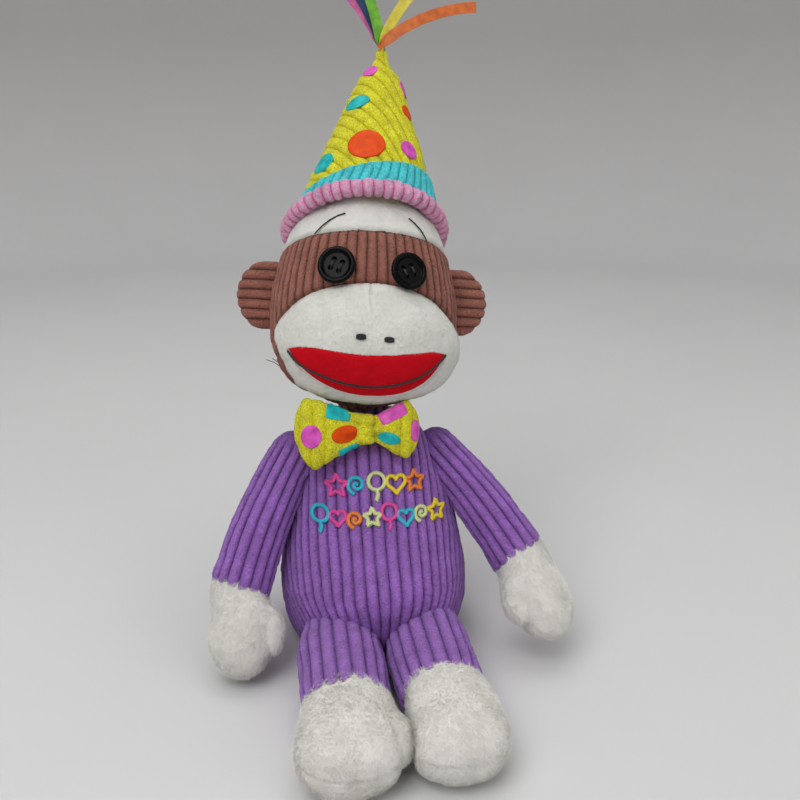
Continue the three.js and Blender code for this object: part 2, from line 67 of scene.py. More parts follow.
# Each frame's X, Y and Z axes and its origin, in the row frame, in millimetres.
FRAMES = {
    "torso": ([1, 0, 0], [0, 0.9703, -0.2419], [0, 0.2419, 0.9703], [0, 0, 0]),
    "head": (
        [0.997564, -0.023858, -0.06555], [0, 0.939693, -0.34202],
        [0.069756, 0.341187, 0.937404], [-3, 31.45, 126.138],
    ),
    "hat": (
        [0.997564, -0.023858, -0.06555], [-0.023858, 0.766329, -0.642005],
        [0.06555, 0.642005, 0.763893], [3.697, 67.023, 215.103],
    ),
    "bow": (
        [0.99863, -0.012661, -0.050781], [-0.010061, 0.970296, -0.241922],
        [0.052336, 0.24159, 0.968966], [-5, -5.414, 122.962],
    ),
    "left_arm": (
        [0.770049, 0.620798, 0.147088], [-0.339483, 0.593918, -0.729392],
        [-0.540163, 0.511733, 0.668096], [38, 23, 98],
    ),
    "right_arm": (
        [0.866756, -0.463898, -0.183118], [0.283776, 0.760671, -0.583825],
        [0.410127, 0.454069, 0.790959], [-42, 19, 101],
    ),
    "left_hand": (
        [0.889362, 0.453797, -0.055712], [-0.30993, 0.508807, -0.803156],
        [-0.336123, 0.731563, 0.593159], [76.892, -13.845, 49.897],
    ),
    "right_hand": (
        [0.968881, -0.241974, 0.052133], [0.207882, 0.68112, -0.70204],
        [0.134367, 0.691031, 0.710226], [-71.529, -13.693, 44.051],
    ),
    "left_leg": ([0.999962, 0.008727, 0], [0, 0, -1], [-0.008727, 0.999962, 0], [22, -28, 17.6]),
    "right_leg": ([0.99863, -0.052336, 0], [0, 0, -1], [0.052336, 0.99863, 0], [-23, -31, 17.6]),
    "right_eye": (
        [0.445702, 0.30617, 0.841195], [-0.854184, 0.426578, 0.297323],
        [-0.267804, -0.851053, 0.451652], [-15.6, 16.2, 204.6],
    ),
    "left_eye": (
        [0.316779, -0.324406, -0.891298], [0.90506, 0.384503, 0.181723],
        [0.283755, -0.864244, 0.41541], [19.7, 14.6, 200.9],
    ),
}
FRAMES = {name: (np.array(f[:3], float), np.array(f[3], float)) for name, f in FRAMES.items()}


def out(frame_name, points):
    axes, origin = FRAMES[frame_name]
    return np.asarray(points, float) @ axes + origin


def into(frame_name, points):
    axes, origin = FRAMES[frame_name]
    return (np.asarray(points, float) - origin) @ axes.T


# ---- Number helpers ----------------------------------------------------------------------------------

LATTICE = np.random.default_rng(11).random((48, 48, 48))


def noise(points, size, seed=0.0):
    """Smooth value noise from -1 to 1 with features of the given size in millimetres."""
    q = np.asarray(points, float) / size + 131.0 + seed * 7.31
    low = np.floor(q).astype(int)
    f = q - low
    f = f * f * (3 - 2 * f)
    low %= 48
    high = (low + 1) % 48
    total = 0.0
    for ix, wx in ((low, 1 - f), (high, f)):
        for iy, wy in ((low, 1 - f), (high, f)):
            for iz, wz in ((low, 1 - f), (high, f)):
                total = total + LATTICE[ix[..., 0], iy[..., 1], iz[..., 2]] * wx[..., 0] * wy[..., 1] * wz[..., 2]
    return total * 2 - 1


def smooth(low, high, value):
    t = np.clip((value - low) / (high - low), 0, 1)
    return t * t * (3 - 2 * t)


def bump(distance, width):
    return np.exp(-((distance / width) ** 2))


def unit(v):
    return v / np.maximum(np.linalg.norm(v, axis=-1, keepdims=True), 1e-9)


def squashed(v, power):
    """A power of a value's size, with its sign kept: below 1 it squares off a circle's sine or cosine."""
    return np.sign(v) * np.abs(v) ** power


def wale(phase, sharp=2.6):
    """Height of a rounded rib, 0 in the groove at whole phases and 1 on its crest."""
    across = np.abs((phase % 1.0) - 0.5) * 2
    return np.maximum(1 - across ** sharp, 0) ** 0.75


def soft_max(a, b, k):
    h = np.clip(0.5 + 0.5 * (a - b) / k, 0, 1)
    return b + (a - b) * h + k * h * (1 - h)


def profile_curve(profile, rows):
    """[radius, height] knots smoothed as in the CAD and resampled evenly."""
    k = np.array(profile, float)
    k = np.vstack([2 * k[0] - k[1], k, 2 * k[-1] - k[-2]])
    dense = []
    for i in range(1, len(k) - 2):
        t = np.linspace(0, 1, 24, endpoint=i == len(k) - 3)[:, None]
        p0, p1, p2, p3 = k[i - 1], k[i], k[i + 1], k[i + 2]
        dense.append(0.5 * (2 * p1 + (p2 - p0) * t + (2 * p0 - 5 * p1 + 4 * p2 - p3) * t ** 2
                            + (3 * p1 - p0 - 3 * p2 + p3) * t ** 3))
    dense = np.vstack(dense)
    length = np.concatenate([[0], np.cumsum(np.linalg.norm(np.diff(dense, axis=0), axis=1))])
    even = np.linspace(0, length[-1], rows)
    r = np.interp(even, length, dense[:, 0])
    return np.maximum(r, 0.05), np.interp(even, length, dense[:, 1])


# ---- Mesh helpers ------------------------------------------------------------------------------------


def circle(count):
    """Evenly spaced angles once round."""
    return np.arange(count) / count * 2 * np.pi


def with_ends(values, end=1):
    """A grid's values, and those of the two points that close its first and last rows."""
    return np.concatenate([values.ravel(), [end, end]])


def grid_faces(rows, cols, closed=True):
    r = np.arange(rows - 1)[:, None]
    c = np.arange(cols if closed else cols - 1)[None, :]
    d = (c + 1) % cols
    return np.stack([r * cols + c, r * cols + d, (r + 1) * cols + d, (r + 1) * cols + c], -1).reshape(-1, 4)


def grid_normals(p):
    """Outward normals of a rows x cols grid that closes round its columns."""
    along = np.gradient(p, axis=0)
    around = (np.roll(p, -1, 1) - np.roll(p, 1, 1)) / 2
    n = np.cross(around, along)
    flat = n.reshape(-1, 3)
    centre = p.reshape(-1, 3).mean(0)
    if np.sum(flat * (p.reshape(-1, 3) - centre)) < 0:
        n = -n
    return unit(n)


def mesh(name, verts, faces, material, rib=None):
    """A mesh object from arrays: verts in millimetres in the row frame, faces a list of index arrays.

    rib is the painted shade of the cloth at each vertex, 0 (painted shadow) in a groove or seam and 1 on a crest.
    """
    data = bpy.data.meshes.new(name)
    verts = np.asarray(verts, float).reshape(-1, 3) * MM
    groups = [np.asarray(f, int) for f in faces if len(f)]
    loops = np.concatenate([g.ravel() for g in groups])
    sizes = np.concatenate([np.full(len(g), g.shape[1]) for g in groups])
    data.vertices.add(len(verts))
    data.vertices.foreach_set("co", verts.ravel())
    data.loops.add(len(loops))
    data.loops.foreach_set("vertex_index", loops.astype(np.int32))
    data.polygons.add(len(sizes))
    data.polygons.foreach_set("loop_start", np.concatenate([[0], np.cumsum(sizes)[:-1]]).astype(np.int32))
    data.polygons.foreach_set("use_smooth", np.full(len(sizes), True))
    data.update(calc_edges=True)
    if rib is not None:
        data.attributes.new("rib", "FLOAT", "POINT").data.foreach_set("value", np.asarray(rib, np.float32).ravel())
    obj = bpy.data.objects.new(name, data)
    data.materials.append(material)
    scene.collection.objects.link(obj)
    return obj


def capped(p):
    """A closed grid's vertices and faces, its first and last rows closed to a point."""
    rows, cols, _ = p.shape
    verts = np.vstack([p.reshape(-1, 3), p[0].mean(0), p[-1].mean(0)])
    n = rows * cols
    c = np.arange(cols)
    d = (c + 1) % cols
    last = (rows - 1) * cols
    tris = np.vstack([
        np.stack([np.full(cols, n), d, c], -1),
        np.stack([np.full(cols, n + 1), last + c, last + d], -1),
    ])
    return verts, [grid_faces(rows, cols), tris]


def oriented(verts, faces):
    """The faces, turned over if the closed shape they make has them inside out."""
    total = 0.0
    for f in faces:
        a = verts[f[:, 0]]
        for k in range(1, f.shape[1] - 1):
            total += np.sum(a * np.cross(verts[f[:, k]], verts[f[:, k + 1]]))
    return faces if total > 0 else [f[:, ::-1] for f in faces]


def closed(p):
    """A closed grid's vertices, and its faces the right way out."""
    verts, faces = capped(p)
    return verts, oriented(verts, faces)


def triangles(faces):
    parts = []
    for f in faces:
        for k in range(1, f.shape[1] - 1):
            parts.append(f[:, [0, k, k + 1]])
    return np.vstack(parts)


def surface_of(verts, faces):
    """A ray-castable copy of a shape, in millimetres."""
    tris = triangles(faces)
    return BVHTree.FromPolygons([tuple(v) for v in verts.tolist()], tris.tolist())


def strands(verts, tris, count, length, width, seed, flow=(0, 0, -1), lean=0.75, keep=None, swirl=14.0, tone=None):
    """Pile fibres as tapered two-step blades rooted in a surface: (verts, quads, tris) to append."""
    rng = np.random.default_rng(seed)
    a, b, c = (verts[tris[:, k]] for k in range(3))
    normal = np.cross(b - a, c - a)
    area = np.linalg.norm(normal, axis=1)
    picked = rng.choice(len(tris), count, p=area / area.sum())
    u, v = rng.random(count), rng.random(count)
    flip = u + v > 1
    u[flip], v[flip] = 1 - u[flip], 1 - v[flip]
    root = a[picked] + (b - a)[picked] * u[:, None] + (c - a)[picked] * v[:, None]
    n = unit(normal[picked])
    shade = 0.72 + 0.28 * rng.random(count)
    # With a tone, fibres carry the painted shade of the cloth at their roots, painted shadow in grooves and seams.
    if tone is not None:
        shade = np.clip(tone[tris[picked, 0]] * (0.85 + 0.3 * rng.random(count)), 0, 1)
    if keep is not None:
        chosen = keep(root)
        root, n, shade = root[chosen], n[chosen], shade[chosen]
        count = len(root)
    sway = np.stack([noise(root, swirl, s) for s in (1.0, 2.0, 3.0)], -1)
    direction = np.asarray(flow, float) + 1.3 * sway + 0.75 * rng.normal(size=(count, 3))
    tangent = unit(direction - n * np.sum(direction * n, 1, keepdims=True))
    tilt = lean * (0.75 + 0.5 * rng.random(count))[:, None]
    d1 = unit(n + tangent * tilt)
    d2 = unit(n * 0.45 + tangent * (tilt + 0.5))
    size = length * (0.65 + 0.55 * rng.random(count))[:, None]
    side = unit(np.cross(d1, n) + 0.35 * rng.normal(size=(count, 3))) * (width / 2)
    base = root - n * 0.35
    middle = base + d1 * size * 0.55
    tip = middle + d2 * size * 0.5
    points = np.stack([base - side, base + side, middle + side * 0.8, middle - side * 0.8, tip], 1).reshape(-1, 3)
    start = np.arange(count)[:, None] * 5
    quads = start + np.array([[0, 1, 2, 3]])
    tips = start + np.array([[3, 2, 4]])
    return points, quads, tips, np.repeat(shade, 5)


def plush(name, verts, faces, material, rib, count, length, width, seed, rooted=None, **options):
    """A cloth shell with its pile in the same mesh; the fibres grow from the rooted faces, or from all."""
    points, quads, tips, shade = strands(verts, triangles(rooted or faces), count, length, width, seed, **options)
    n = len(verts)
    return mesh(name, np.vstack([verts, points]), [*faces, quads + n, tips + n], material, np.concatenate([rib, shade]))


def brushed(name, shape, material, rib, count, seed, length=0.85, **options):
    """Ribbed cloth with the short loose pile that softens its crests and outline."""
    return plush(name, *shape, material, rib, count, length, 0.11, seed, lean=0.55, swirl=5.0, tone=rib, **options)


def tube(path, radius, sides):
    """A round cord along points in millimetres; radius may vary along it. Returns verts, faces."""
    path = np.asarray(path, float)
    radius = np.broadcast_to(np.asarray(radius, float), (len(path),))
    along = unit(np.gradient(path, axis=0))
    ref = np.array([0.0, 0.0, 1.0]) if abs(along[:, 2]).mean() < 0.8 else np.array([1.0, 0.0, 0.0])
    side = unit(np.cross(along, ref))
    up = np.cross(side, along)
    angle = circle(sides)
    ring = side[:, None] * np.cos(angle)[None, :, None] + up[:, None] * np.sin(angle)[None, :, None]
    return capped(path[:, None] + ring * radius[:, None, None])


def gathered(parts):
    """Several closed (verts, faces) shapes as one, each the right way out."""
    verts, faces, n = [], [], 0
    for v, fs in parts:
        verts.append(v)
        faces += [f + n for f in oriented(v, fs)]
        n += len(v)
    return np.vstack(verts), faces


def cast(tree, points, direction, lift=0.0):
    """Each point moved along direction on to the surface, then lifted off it; misses keep their nearest point."""
    direction = Vector(direction).normalized()
    found = []
    for p in np.asarray(points, float).reshape(-1, 3):
        start = Vector(p) - direction * 120
        hit, normal, _, _ = tree.ray_cast(start, direction)
        if hit is None:
            hit, normal, _, _ = tree.find_nearest(Vector(p))
        if normal.dot(direction) > 0:
            normal = -normal
        found.append(np.array(hit) + np.array(normal) * lift)
    return np.array(found).reshape(np.asarray(points).shape)


# ---- Materials ---------------------------------------------------------------------------------------


def linear(colour):
    """A colour picked as 8-bit sRGB, in the linear values that shaders take."""
    c = np.array(colour, float) / 255
    c = np.where(c <= 0.04045, c / 12.92, ((c + 0.055) / 1.055) ** 2.4)
    return (*c.tolist(), 1.0)


def shader(name, roughness, **sockets):
    material = bpy.data.materials.new(name)
    material.use_nodes = True
    tree = material.node_tree
    bsdf = next(n for n in tree.nodes if n.type == "BSDF_PRINCIPLED")
    bsdf.inputs["Roughness"].default_value = roughness
    for key, value in sockets.items():
        bsdf.inputs[key.replace("_", " ")].default_value = value
    return material, tree, bsdf


def add(tree, kind, **settings):
    node = tree.nodes.new(kind)
    for key, value in settings.items():
        if hasattr(node, key):
            setattr(node, key, value)
        else:
            node.inputs[key].default_value = value
    return node


def textured(tree, scale, detail=3.0, rough=0.55, stretch=None):
    """Noise over the piece's own coordinates; scale is features per metre."""
    where = add(tree, "ShaderNodeTexCoord")
    last = where.outputs["Object"]
    if stretch:
        mapping = add(tree, "ShaderNodeMapping")
        mapping.inputs["Scale"].default_value = stretch
        tree.links.new(last, mapping.inputs["Vector"])
        last = mapping.outputs["Vector"]
    texture = add(tree, "ShaderNodeTexNoise", Scale=scale, Detail=detail, Roughness=rough)
    tree.links.new(last, texture.inputs["Vector"])
    return texture.outputs["Fac"]


def ramp(tree, source, *stops):
    """A colour read from a value between (position, colour) stops."""
    node = add(tree, "ShaderNodeValToRGB")
    elements = node.color_ramp.elements
    while len(elements) < len(stops):
        elements.new(0.5)
    for element, (position, colour) in zip(elements, stops):
        element.position = position
        element.color = colour
    tree.links.new(source, node.inputs["Fac"])
    return node.outputs["Color"]


def multiplied(tree, a, b, factor=1.0):
    node = add(tree, "ShaderNodeMix", data_type="RGBA", blend_type="MULTIPLY")
    node.inputs["Factor"].default_value = factor
    tree.links.new(a, node.inputs["A"])
    tree.links.new(b, node.inputs["B"])
    return node.outputs["Result"]


def grey(value):
    return (value, value, value, 1)


def rib_of(tree):
    return add(tree, "ShaderNodeAttribute", attribute_name="rib").outputs["Fac"]


def ranged(tree, source, low, high, start="To"):
    """A value spread over the range from low to high, or with start "From", that range spread over 0 to 1."""
    node = add(tree, "ShaderNodeMapRange")
    node.inputs[f"{start} Min"].default_value = low
    node.inputs[f"{start} Max"].default_value = high
    tree.links.new(source, node.inputs["Value"])
    return node.outputs["Result"]


def bumped(tree, bsdf, *layers):
    """Stacks bump from (height output, distance in metres, strength) layers."""
    last = None
    for height, distance, strength in layers:
        node = add(tree, "ShaderNodeBump", Distance=distance, Strength=strength)
        tree.links.new(height, node.inputs["Height"])
        if last is not None:
            tree.links.new(last, node.inputs["Normal"])
        last = node.outputs["Normal"]
    tree.links.new(last, bsdf.inputs["Normal"])


def pile_cord(name, groove, flank, crest, sheen, sheen_tint):
    """Chenille corduroy: painted shadow in the grooves, painted light on the brushed crests, and a fine fibre grain."""
    material, tree, bsdf = shader(name, 0.92, Sheen_Weight=sheen, Sheen_Roughness=0.45,
                                  Sheen_Tint=(*sheen_tint, 1.0), Specular_IOR_Level=0.15)
    # Painted shade from the rib value: the groove colour is painted shadow, the crest colour painted light.
    shade = ramp(tree, rib_of(tree), (0.0, linear(groove)), (0.45, linear(flank)), (1.0, linear(crest)))
    patch = ramp(tree, textured(tree, 110.0, 4.0), (0.3, grey(0.80)), (0.7, grey(1.12)))
    fibre = textured(tree, 1500.0, 4.0, 0.7)
    speck = ramp(tree, fibre, (0.33, grey(0.60)), (0.67, grey(1.28)))
    colour = multiplied(tree, multiplied(tree, shade, patch), speck, 0.9)
    tree.links.new(colour, bsdf.inputs["Base Color"])
    bumped(tree, bsdf, (textured(tree, 760.0, 2.0), 0.0022, 0.9), (fibre, 0.0010, 1.0))
    return material


def pile_plush(name, dark, light):
    """Clipped white pile, faintly uneven in tone, with painted shade at its roots and seams."""
    material, tree, bsdf = shader(name, 0.95, Sheen_Weight=0.25, Sheen_Roughness=0.5, Specular_IOR_Level=0.1)
    # The dark colour is painted shade at the pile's roots and along its seams.
    shade = ramp(tree, rib_of(tree), (0.0, linear(dark)), (1.0, linear(light)))
    patch = ramp(tree, textured(tree, 70.0, 4.0), (0.3, (0.93, 0.925, 0.91, 1)), (0.7, grey(1.03)))
    tree.links.new(multiplied(tree, shade, patch), bsdf.inputs["Base Color"])
    fibre = textured(tree, 1700.0, 4.0, 0.7)
    bumped(tree, bsdf, (textured(tree, 420.0), 0.0012, 0.5), (fibre, 0.0005, 0.6))
    return material


def felt(name, dark, light):
    """Pressed felt, its fibres lying mostly one way."""
    material, tree, bsdf = shader(name, 0.9, Sheen_Weight=0.05, Sheen_Roughness=0.4,
                                  Sheen_Tint=(1.0, 0.35, 0.35, 1.0), Specular_IOR_Level=0.15)
    fibre = textured(tree, 1900.0, 5.0, 0.75, (1.0, 0.35, 1.0))
    shade = ramp(tree, fibre, (0.3, linear(dark)), (0.7, linear(light)))
    patch = ramp(tree, textured(tree, 130.0), (0.3, grey(0.9)), (0.7, grey(1.06)))
    tree.links.new(multiplied(tree, shade, patch), bsdf.inputs["Base Color"])
    bumped(tree, bsdf, (fibre, 0.0003, 0.5))
    return material


def foil(name, colour, dark, roughness=0.3):
    """Foil print on cloth: a bright film that shows the cloth's fine unevenness."""
    material, tree, bsdf = shader(name, roughness, Coat_Weight=0.03, Coat_Roughness=0.2, Specular_IOR_Level=0.16)
    blotch, fine = textured(tree, 260.0), textured(tree, 900.0, 2.0)
    shade = ramp(tree, blotch, (0.3, linear(dark)), (0.65, linear(colour)))
    tree.links.new(shade, bsdf.inputs["Base Color"])
    tree.links.new(ranged(tree, fine, roughness * 0.7, roughness * 1.6), bsdf.inputs["Roughness"])
    bumped(tree, bsdf, (blotch, 0.0010, 0.35), (fine, 0.0003, 0.4))
    return material


def satin(name, dark, light):
    """Woven satin ribbon: fine lengthwise threads with a soft gloss along them."""
    material, tree, bsdf = shader(name, 0.36, Sheen_Weight=0.3, Sheen_Roughness=0.3, Specular_IOR_Level=0.6,
                                  Anisotropic=0.5)
    threads = add(tree, "ShaderNodeMath", operation="MULTIPLY")
    threads.inputs[1].default_value = 150.0
    tree.links.new(rib_of(tree), threads.inputs[0])
    wave = add(tree, "ShaderNodeMath", operation="SINE")
    tree.links.new(threads.outputs[0], wave.inputs[0])
    shade = ramp(tree, textured(tree, 240.0), (0.3, linear(dark)), (0.7, linear(light)))
    tree.links.new(shade, bsdf.inputs["Base Color"])
    bumped(tree, bsdf, (wave.outputs[0], 0.00006, 0.5), (textured(tree, 2600.0, 2.0), 0.00015, 0.5))
    return material


def thread(name, dark, light, roughness=0.5):
    """Twisted sewing or embroidery thread."""
    material, tree, bsdf = shader(name, roughness, Sheen_Weight=0.15, Specular_IOR_Level=0.45)
    fibre = textured(tree, 2400.0)
    tree.links.new(ramp(tree, fibre, (0.3, linear(dark)), (0.7, linear(light))), bsdf.inputs["Base Color"])
    bumped(tree, bsdf, (fibre, 0.0002, 0.6))
    return material


def plastic(name):
    """Moulded black button: glossy, with faint handling scuffs."""
    material, tree, bsdf = shader(name, 0.2, Specular_IOR_Level=0.1)
    scuff = textured(tree, 420.0, 6.0, 0.7)
    shade = ramp(tree, scuff, (0.35, linear((2, 2, 2))), (0.8, linear((8, 8, 9))))
    tree.links.new(shade, bsdf.inputs["Base Color"])
    tree.links.new(ranged(tree, scuff, 0.14, 0.38), bsdf.inputs["Roughness"])
    bumped(tree, bsdf, (scuff, 0.00008, 0.4))
    return material


# Each cloth's first colour is painted shadow for its grooves and seams, its last painted light on its crests.
PURPLE = pile_cord("purple_cord", (56, 26, 88), (136, 82, 178), (176, 120, 216), 0.35, (0.86, 0.74, 1.0))
BROWN = pile_cord("brown_cord", (58, 28, 22), (136, 80, 66), (178, 114, 98), 0.25, (1.0, 0.85, 0.8))
YELLOW = pile_cord("yellow_cord", (196, 182, 14), (244, 236, 34), (252, 248, 56), 0.15, (1.0, 1.0, 0.7))
BLUE = pile_cord("blue_cord", (28, 156, 172), (64, 218, 228), (96, 240, 248), 0.15, (0.8, 1.0, 1.0))
PINK = pile_cord("pink_cord", (206, 88, 146), (252, 160, 206), (255, 194, 228), 0.25, (1.0, 0.8, 0.9))
WHITE = pile_plush("white_pile", (226, 223, 216), (250, 249, 245))
# The face panels get a darker copy of the white pile: painted shade on the face.
SHADED_FACE_WHITE = pile_plush("white_pile_shaded_face", (188, 187, 181), (222, 222, 216))
RED = felt("red_felt", (168, 0, 16), (214, 6, 28))
BLACK_THREAD = thread("black_thread", (7, 7, 8), (26, 25, 27))
BLACK_PLASTIC = plastic("black_button")
FOILS = {
    "teal": foil("foil_teal", (38, 190, 190), (14, 150, 156)),
    "orange": foil("foil_orange", (226, 78, 0), (208, 64, 0), 0.4),
    "pink": foil("foil_pink", (226, 98, 196), (190, 66, 160)),
}
SATINS = {
    "orange": satin("satin_orange", (196, 84, 10), (236, 122, 22)),
    "yellow": satin("satin_yellow", (214, 196, 40), (246, 232, 78)),
    "green": satin("satin_green", (92, 160, 34), (132, 204, 56)),
    "navy": satin("satin_navy", (12, 44, 84), (30, 74, 120)),
    "pink": satin("satin_pink", (196, 84, 146), (234, 124, 184)),
}
THREADS = {
    "magenta": thread("thread_magenta", (206, 40, 136), (244, 92, 184), 0.4),
    "cyan": thread("thread_cyan", (20, 158, 190), (60, 206, 228), 0.4),
    "pale": thread("thread_pale", (196, 206, 134), (226, 234, 176), 0.4),
    "yellow": thread("thread_yellow", (218, 188, 12), (250, 230, 50), 0.4),
    "orange": thread("thread_orange", (216, 108, 20), (250, 152, 60), 0.4),
}

# ---- Torso -------------------------------------------------------------------------------------------

PITCH = 6.2
RIB = 1.6
TORSO_PROFILE = [
    [0, -9], [22, -8.5], [38, -4], [46, 5], [50, 18], [51, 34], [49.5, 50], [46, 66], [42, 81], [38, 95],
    [33.5, 107], [27, 117.5], [19.5, 124], [10, 127.4], [0, 128],
]


def ring_arcs(p):
    """Signed length round each row from its first column, the short way to either side."""
    step = np.linalg.norm(np.roll(p, -1, 1) - p, axis=2)
    forward = np.concatenate([np.zeros((len(p), 1)), np.cumsum(step, 1)], 1)
    total = forward[:, -1:]
    s = forward[:, :-1]
    return np.where(s > total / 2, s - total, s), total


def torso_grid(rows, cols):
    r, z = profile_curve(TORSO_PROFILE, rows)
    a = circle(cols)
    x = r[:, None] * np.sin(a)
    y = -0.84 * r[:, None] * np.cos(a)
    zz = np.repeat(z[:, None], cols, 1)
    y = np.where(y < 0, y * (1 + 0.34 * np.exp(-(((zz - 24) / 30) ** 2)) + 0.07 * np.exp(-(((zz - 26) / 15) ** 2))), y)
    return np.stack([x, y, zz], -1), a


def off_floor(at):
    """No pile grows where the cloth is pressed on the floor."""
    return at[:, 2] > 1.0


def build_torso():
    p, a = torso_grid(220, 520)
    n = grid_normals(p)
    s, total = ring_arcs(p)
    front = np.cos(a)[None, :] > 0
    back_s = np.where(s > 0, s - total / 2, s + total / 2)
    centre_s = np.where(front, s, back_s)
    wobble = 0.35 * noise(p * [1, 1, 0.25], 9, 4)
    gather = 1 + 0.45 * smooth(34, 4, p[..., 2]) * (p[..., 1] < 0)  # the front's wales draw in towards the crotch
    phase = (centre_s * gather + wobble) / PITCH + 0.5
    h = wale(phase)
    # Side seams pull in where the two panels meet.
    to_seam = np.abs(p[..., 1])
    seam = bump(to_seam, 1.6) * smooth(2, 12, np.abs(p[..., 0]))
    lift = RIB * (h - 0.62) * (1 - 0.55 * seam) - 1.9 * seam
    lift += 0.9 * noise(p, 26, 1) + (0.35 * noise(p, 9, 2) + 0.28 * noise(p, 3.2, 6)) * h + 0.24 * noise(p, 1.5, 3)
    lift -= 1.6 * bump(p[..., 0], 7) * bump(p[..., 2] - 14, 13) * (p[..., 1] < 0)  # tucked in over the crotch
    lift *= 0.4 + 0.6 * smooth(6, 26, p[..., 2])  # flatter ribs under the seat
    q = out("torso", p + n * lift[..., None])
    q[..., 2] = np.maximum(q[..., 2], 0.3)
    # The rib value paints shade: painted shadow in the grooves and along the side seams.
    rib = with_ends(h * (1 - 0.6 * seam))
    torso = brushed("torso_suit", closed(q), PURPLE, rib, 40000, 101, keep=off_floor)
    base = out("torso", p + n * (RIB * 0.38 + 0.1 + 0.9 * noise(p, 26, 1))[..., None])
    return torso, surface_of(*capped(base))


torso_suit, TORSO_SURFACE = build_torso()
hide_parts("torso_front_panel", "torso_back_panel", "torso_stuffing", "seat_pellet_pouch")
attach(torso_suit, "torso")


def side_seams():
    """A stitched ridge down both sides of the suit, where its front and back panels join."""
    parts = []
    for side in (-1, 1):
        z = np.linspace(30, 116, 90)
        radii, heights = profile_curve(TORSO_PROFILE, 400)
        r = np.interp(z, heights, radii)
        path = np.stack([side * (r - 1.0), np.zeros_like(z), z], -1)
        path += 0.25 * np.stack([noise(path, 5, s) for s in (5, 6, 7)], -1)
        radius = 0.75 * (1 + 0.22 * np.sin(z * 2 * np.pi / 2.6))
        parts.append(tube(out("torso", path), radius, 8))
    v, f = gathered(parts)
    return mesh("torso_side_seams", v, f, PURPLE, np.full(len(v), 0.35))


seams = side_seams()
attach(seams, "torso")

# ---- Sleeves and trouser legs ------------------------------------------------------------------------

SLEEVE_PROFILE = [[0, -13.4], [7.5, -11.2], [11.9, -6], [13.4, 0], [14, 16], [14.8, 36], [15.4, 56], [15.8, 72]]
LEG_PROFILE = [[0, -16.5], [10, -14], [16.0, -8], [18.6, 0], [20.6, 12], [21.4, 28], [21.0, 46], [20.4, 62]]


def limb_cover(name, frame_name, profile, depth, ribs, bow_out, seed, over, drift=0.0):
    """A ribbed tube closed at its root, running a little way into the plush at its cuff."""
    rows, cols = 190, ribs * 20
    r, s = profile_curve(profile, rows)
    length = profile[-1][1]
    s = np.append(s, [length + over * 0.5, length + over, length + over + 0.1])
    r = np.append(r, [r[-1], r[-1] - 0.8, r[-1] - 4])
    a = circle(cols)
    x = r[:, None] * np.sin(a)
    y = -depth * r[:, None] * np.cos(a)
    ss = np.repeat(s[:, None], cols, 1)
    p = np.stack([x, y, -ss], -1)
    n = grid_normals(p)
    root = smooth(-10, 4, ss)
    phase = ribs * a / (2 * np.pi) + 0.06 * noise(p * [1, 1, 0.3], 10, seed) + 0.5
    h = wale(phase) * root + (1 - root) * 0.5
    seam = bump(np.abs(np.angle(np.exp(1j * (a - np.pi)))) * 15, 1.6)[None, :] * root
    lift = RIB * (h - 0.62) * (1 - 0.5 * seam) - 1.1 * seam
    lift += (0.7 * noise(p, 16, seed + 1) * root + (0.3 * noise(p, 7, seed + 2) + 0.28 * noise(p, 3.2, seed + 6)) * h
             + 0.24 * noise(p, 1.5, seed + 3))
    # Soft cross folds where the stuffing is thin, above the cuff and by the root.
    fold = noise(p * [0.35, 0.35, 1], 9, seed + 5)
    lift -= 0.9 * np.maximum(fold, 0) * (bump(ss - 8, 9) + 0.5 * bump(ss - length + 10, 8))
    q = p + n * lift[..., None]
    q[..., 0] += bow_out * np.sin(np.pi * np.clip(ss / length, 0, 1)) + drift * smooth(0, 80, ss)
    q = out(frame_name, q)
    q[..., 2] = np.maximum(q[..., 2], 0.4)
    # The rib value paints shade: painted shadow in the grooves and along the seam.
    return brushed(name, closed(q), PURPLE, with_ends(h * (1 - 0.5 * seam)), 17000, 102 + seed, keep=off_floor)


for side, sign in (("right", -1), ("left", 1)):
    arm = f"{side}_arm"
    sleeve = limb_cover(f"{side}_sleeve_cover", arm, SLEEVE_PROFILE, 0.94, 15, sign * 2.4, 20 + sign,
                        5.0 if sign < 0 else 2.0)
    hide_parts(f"{side}_sleeve", f"{side}_arm_stuffing")
    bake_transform(sleeve)
    leg = f"{side}_leg"
    trouser = limb_cover(f"{side}_trouser_cover", leg, LEG_PROFILE, 0.85, 18, 0, 30 + sign, 4.0,
                         3.0 if sign < 0 else 0.0)
    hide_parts(f"{side}_trouser_leg", f"{side}_leg_stuffing")
    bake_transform(trouser)

# ---- Plush hands and feet ----------------------------------------------------------------------------

HAND_PROFILE = [[14.6, 0], [15.2, 3], [15.8, 8], [16.6, 16.5], [17.2, 26], [15.8, 37], [11.6, 45], [5.6, 49.8], [0, 51]]
FOOT_PROFILE = [[20.2, 0.5], [20.8, 4], [21.6, 9], [23.0, 18], [23.4, 29], [21.5, 39], [15.5, 46.5], [8, 50.2], [0, 51]]


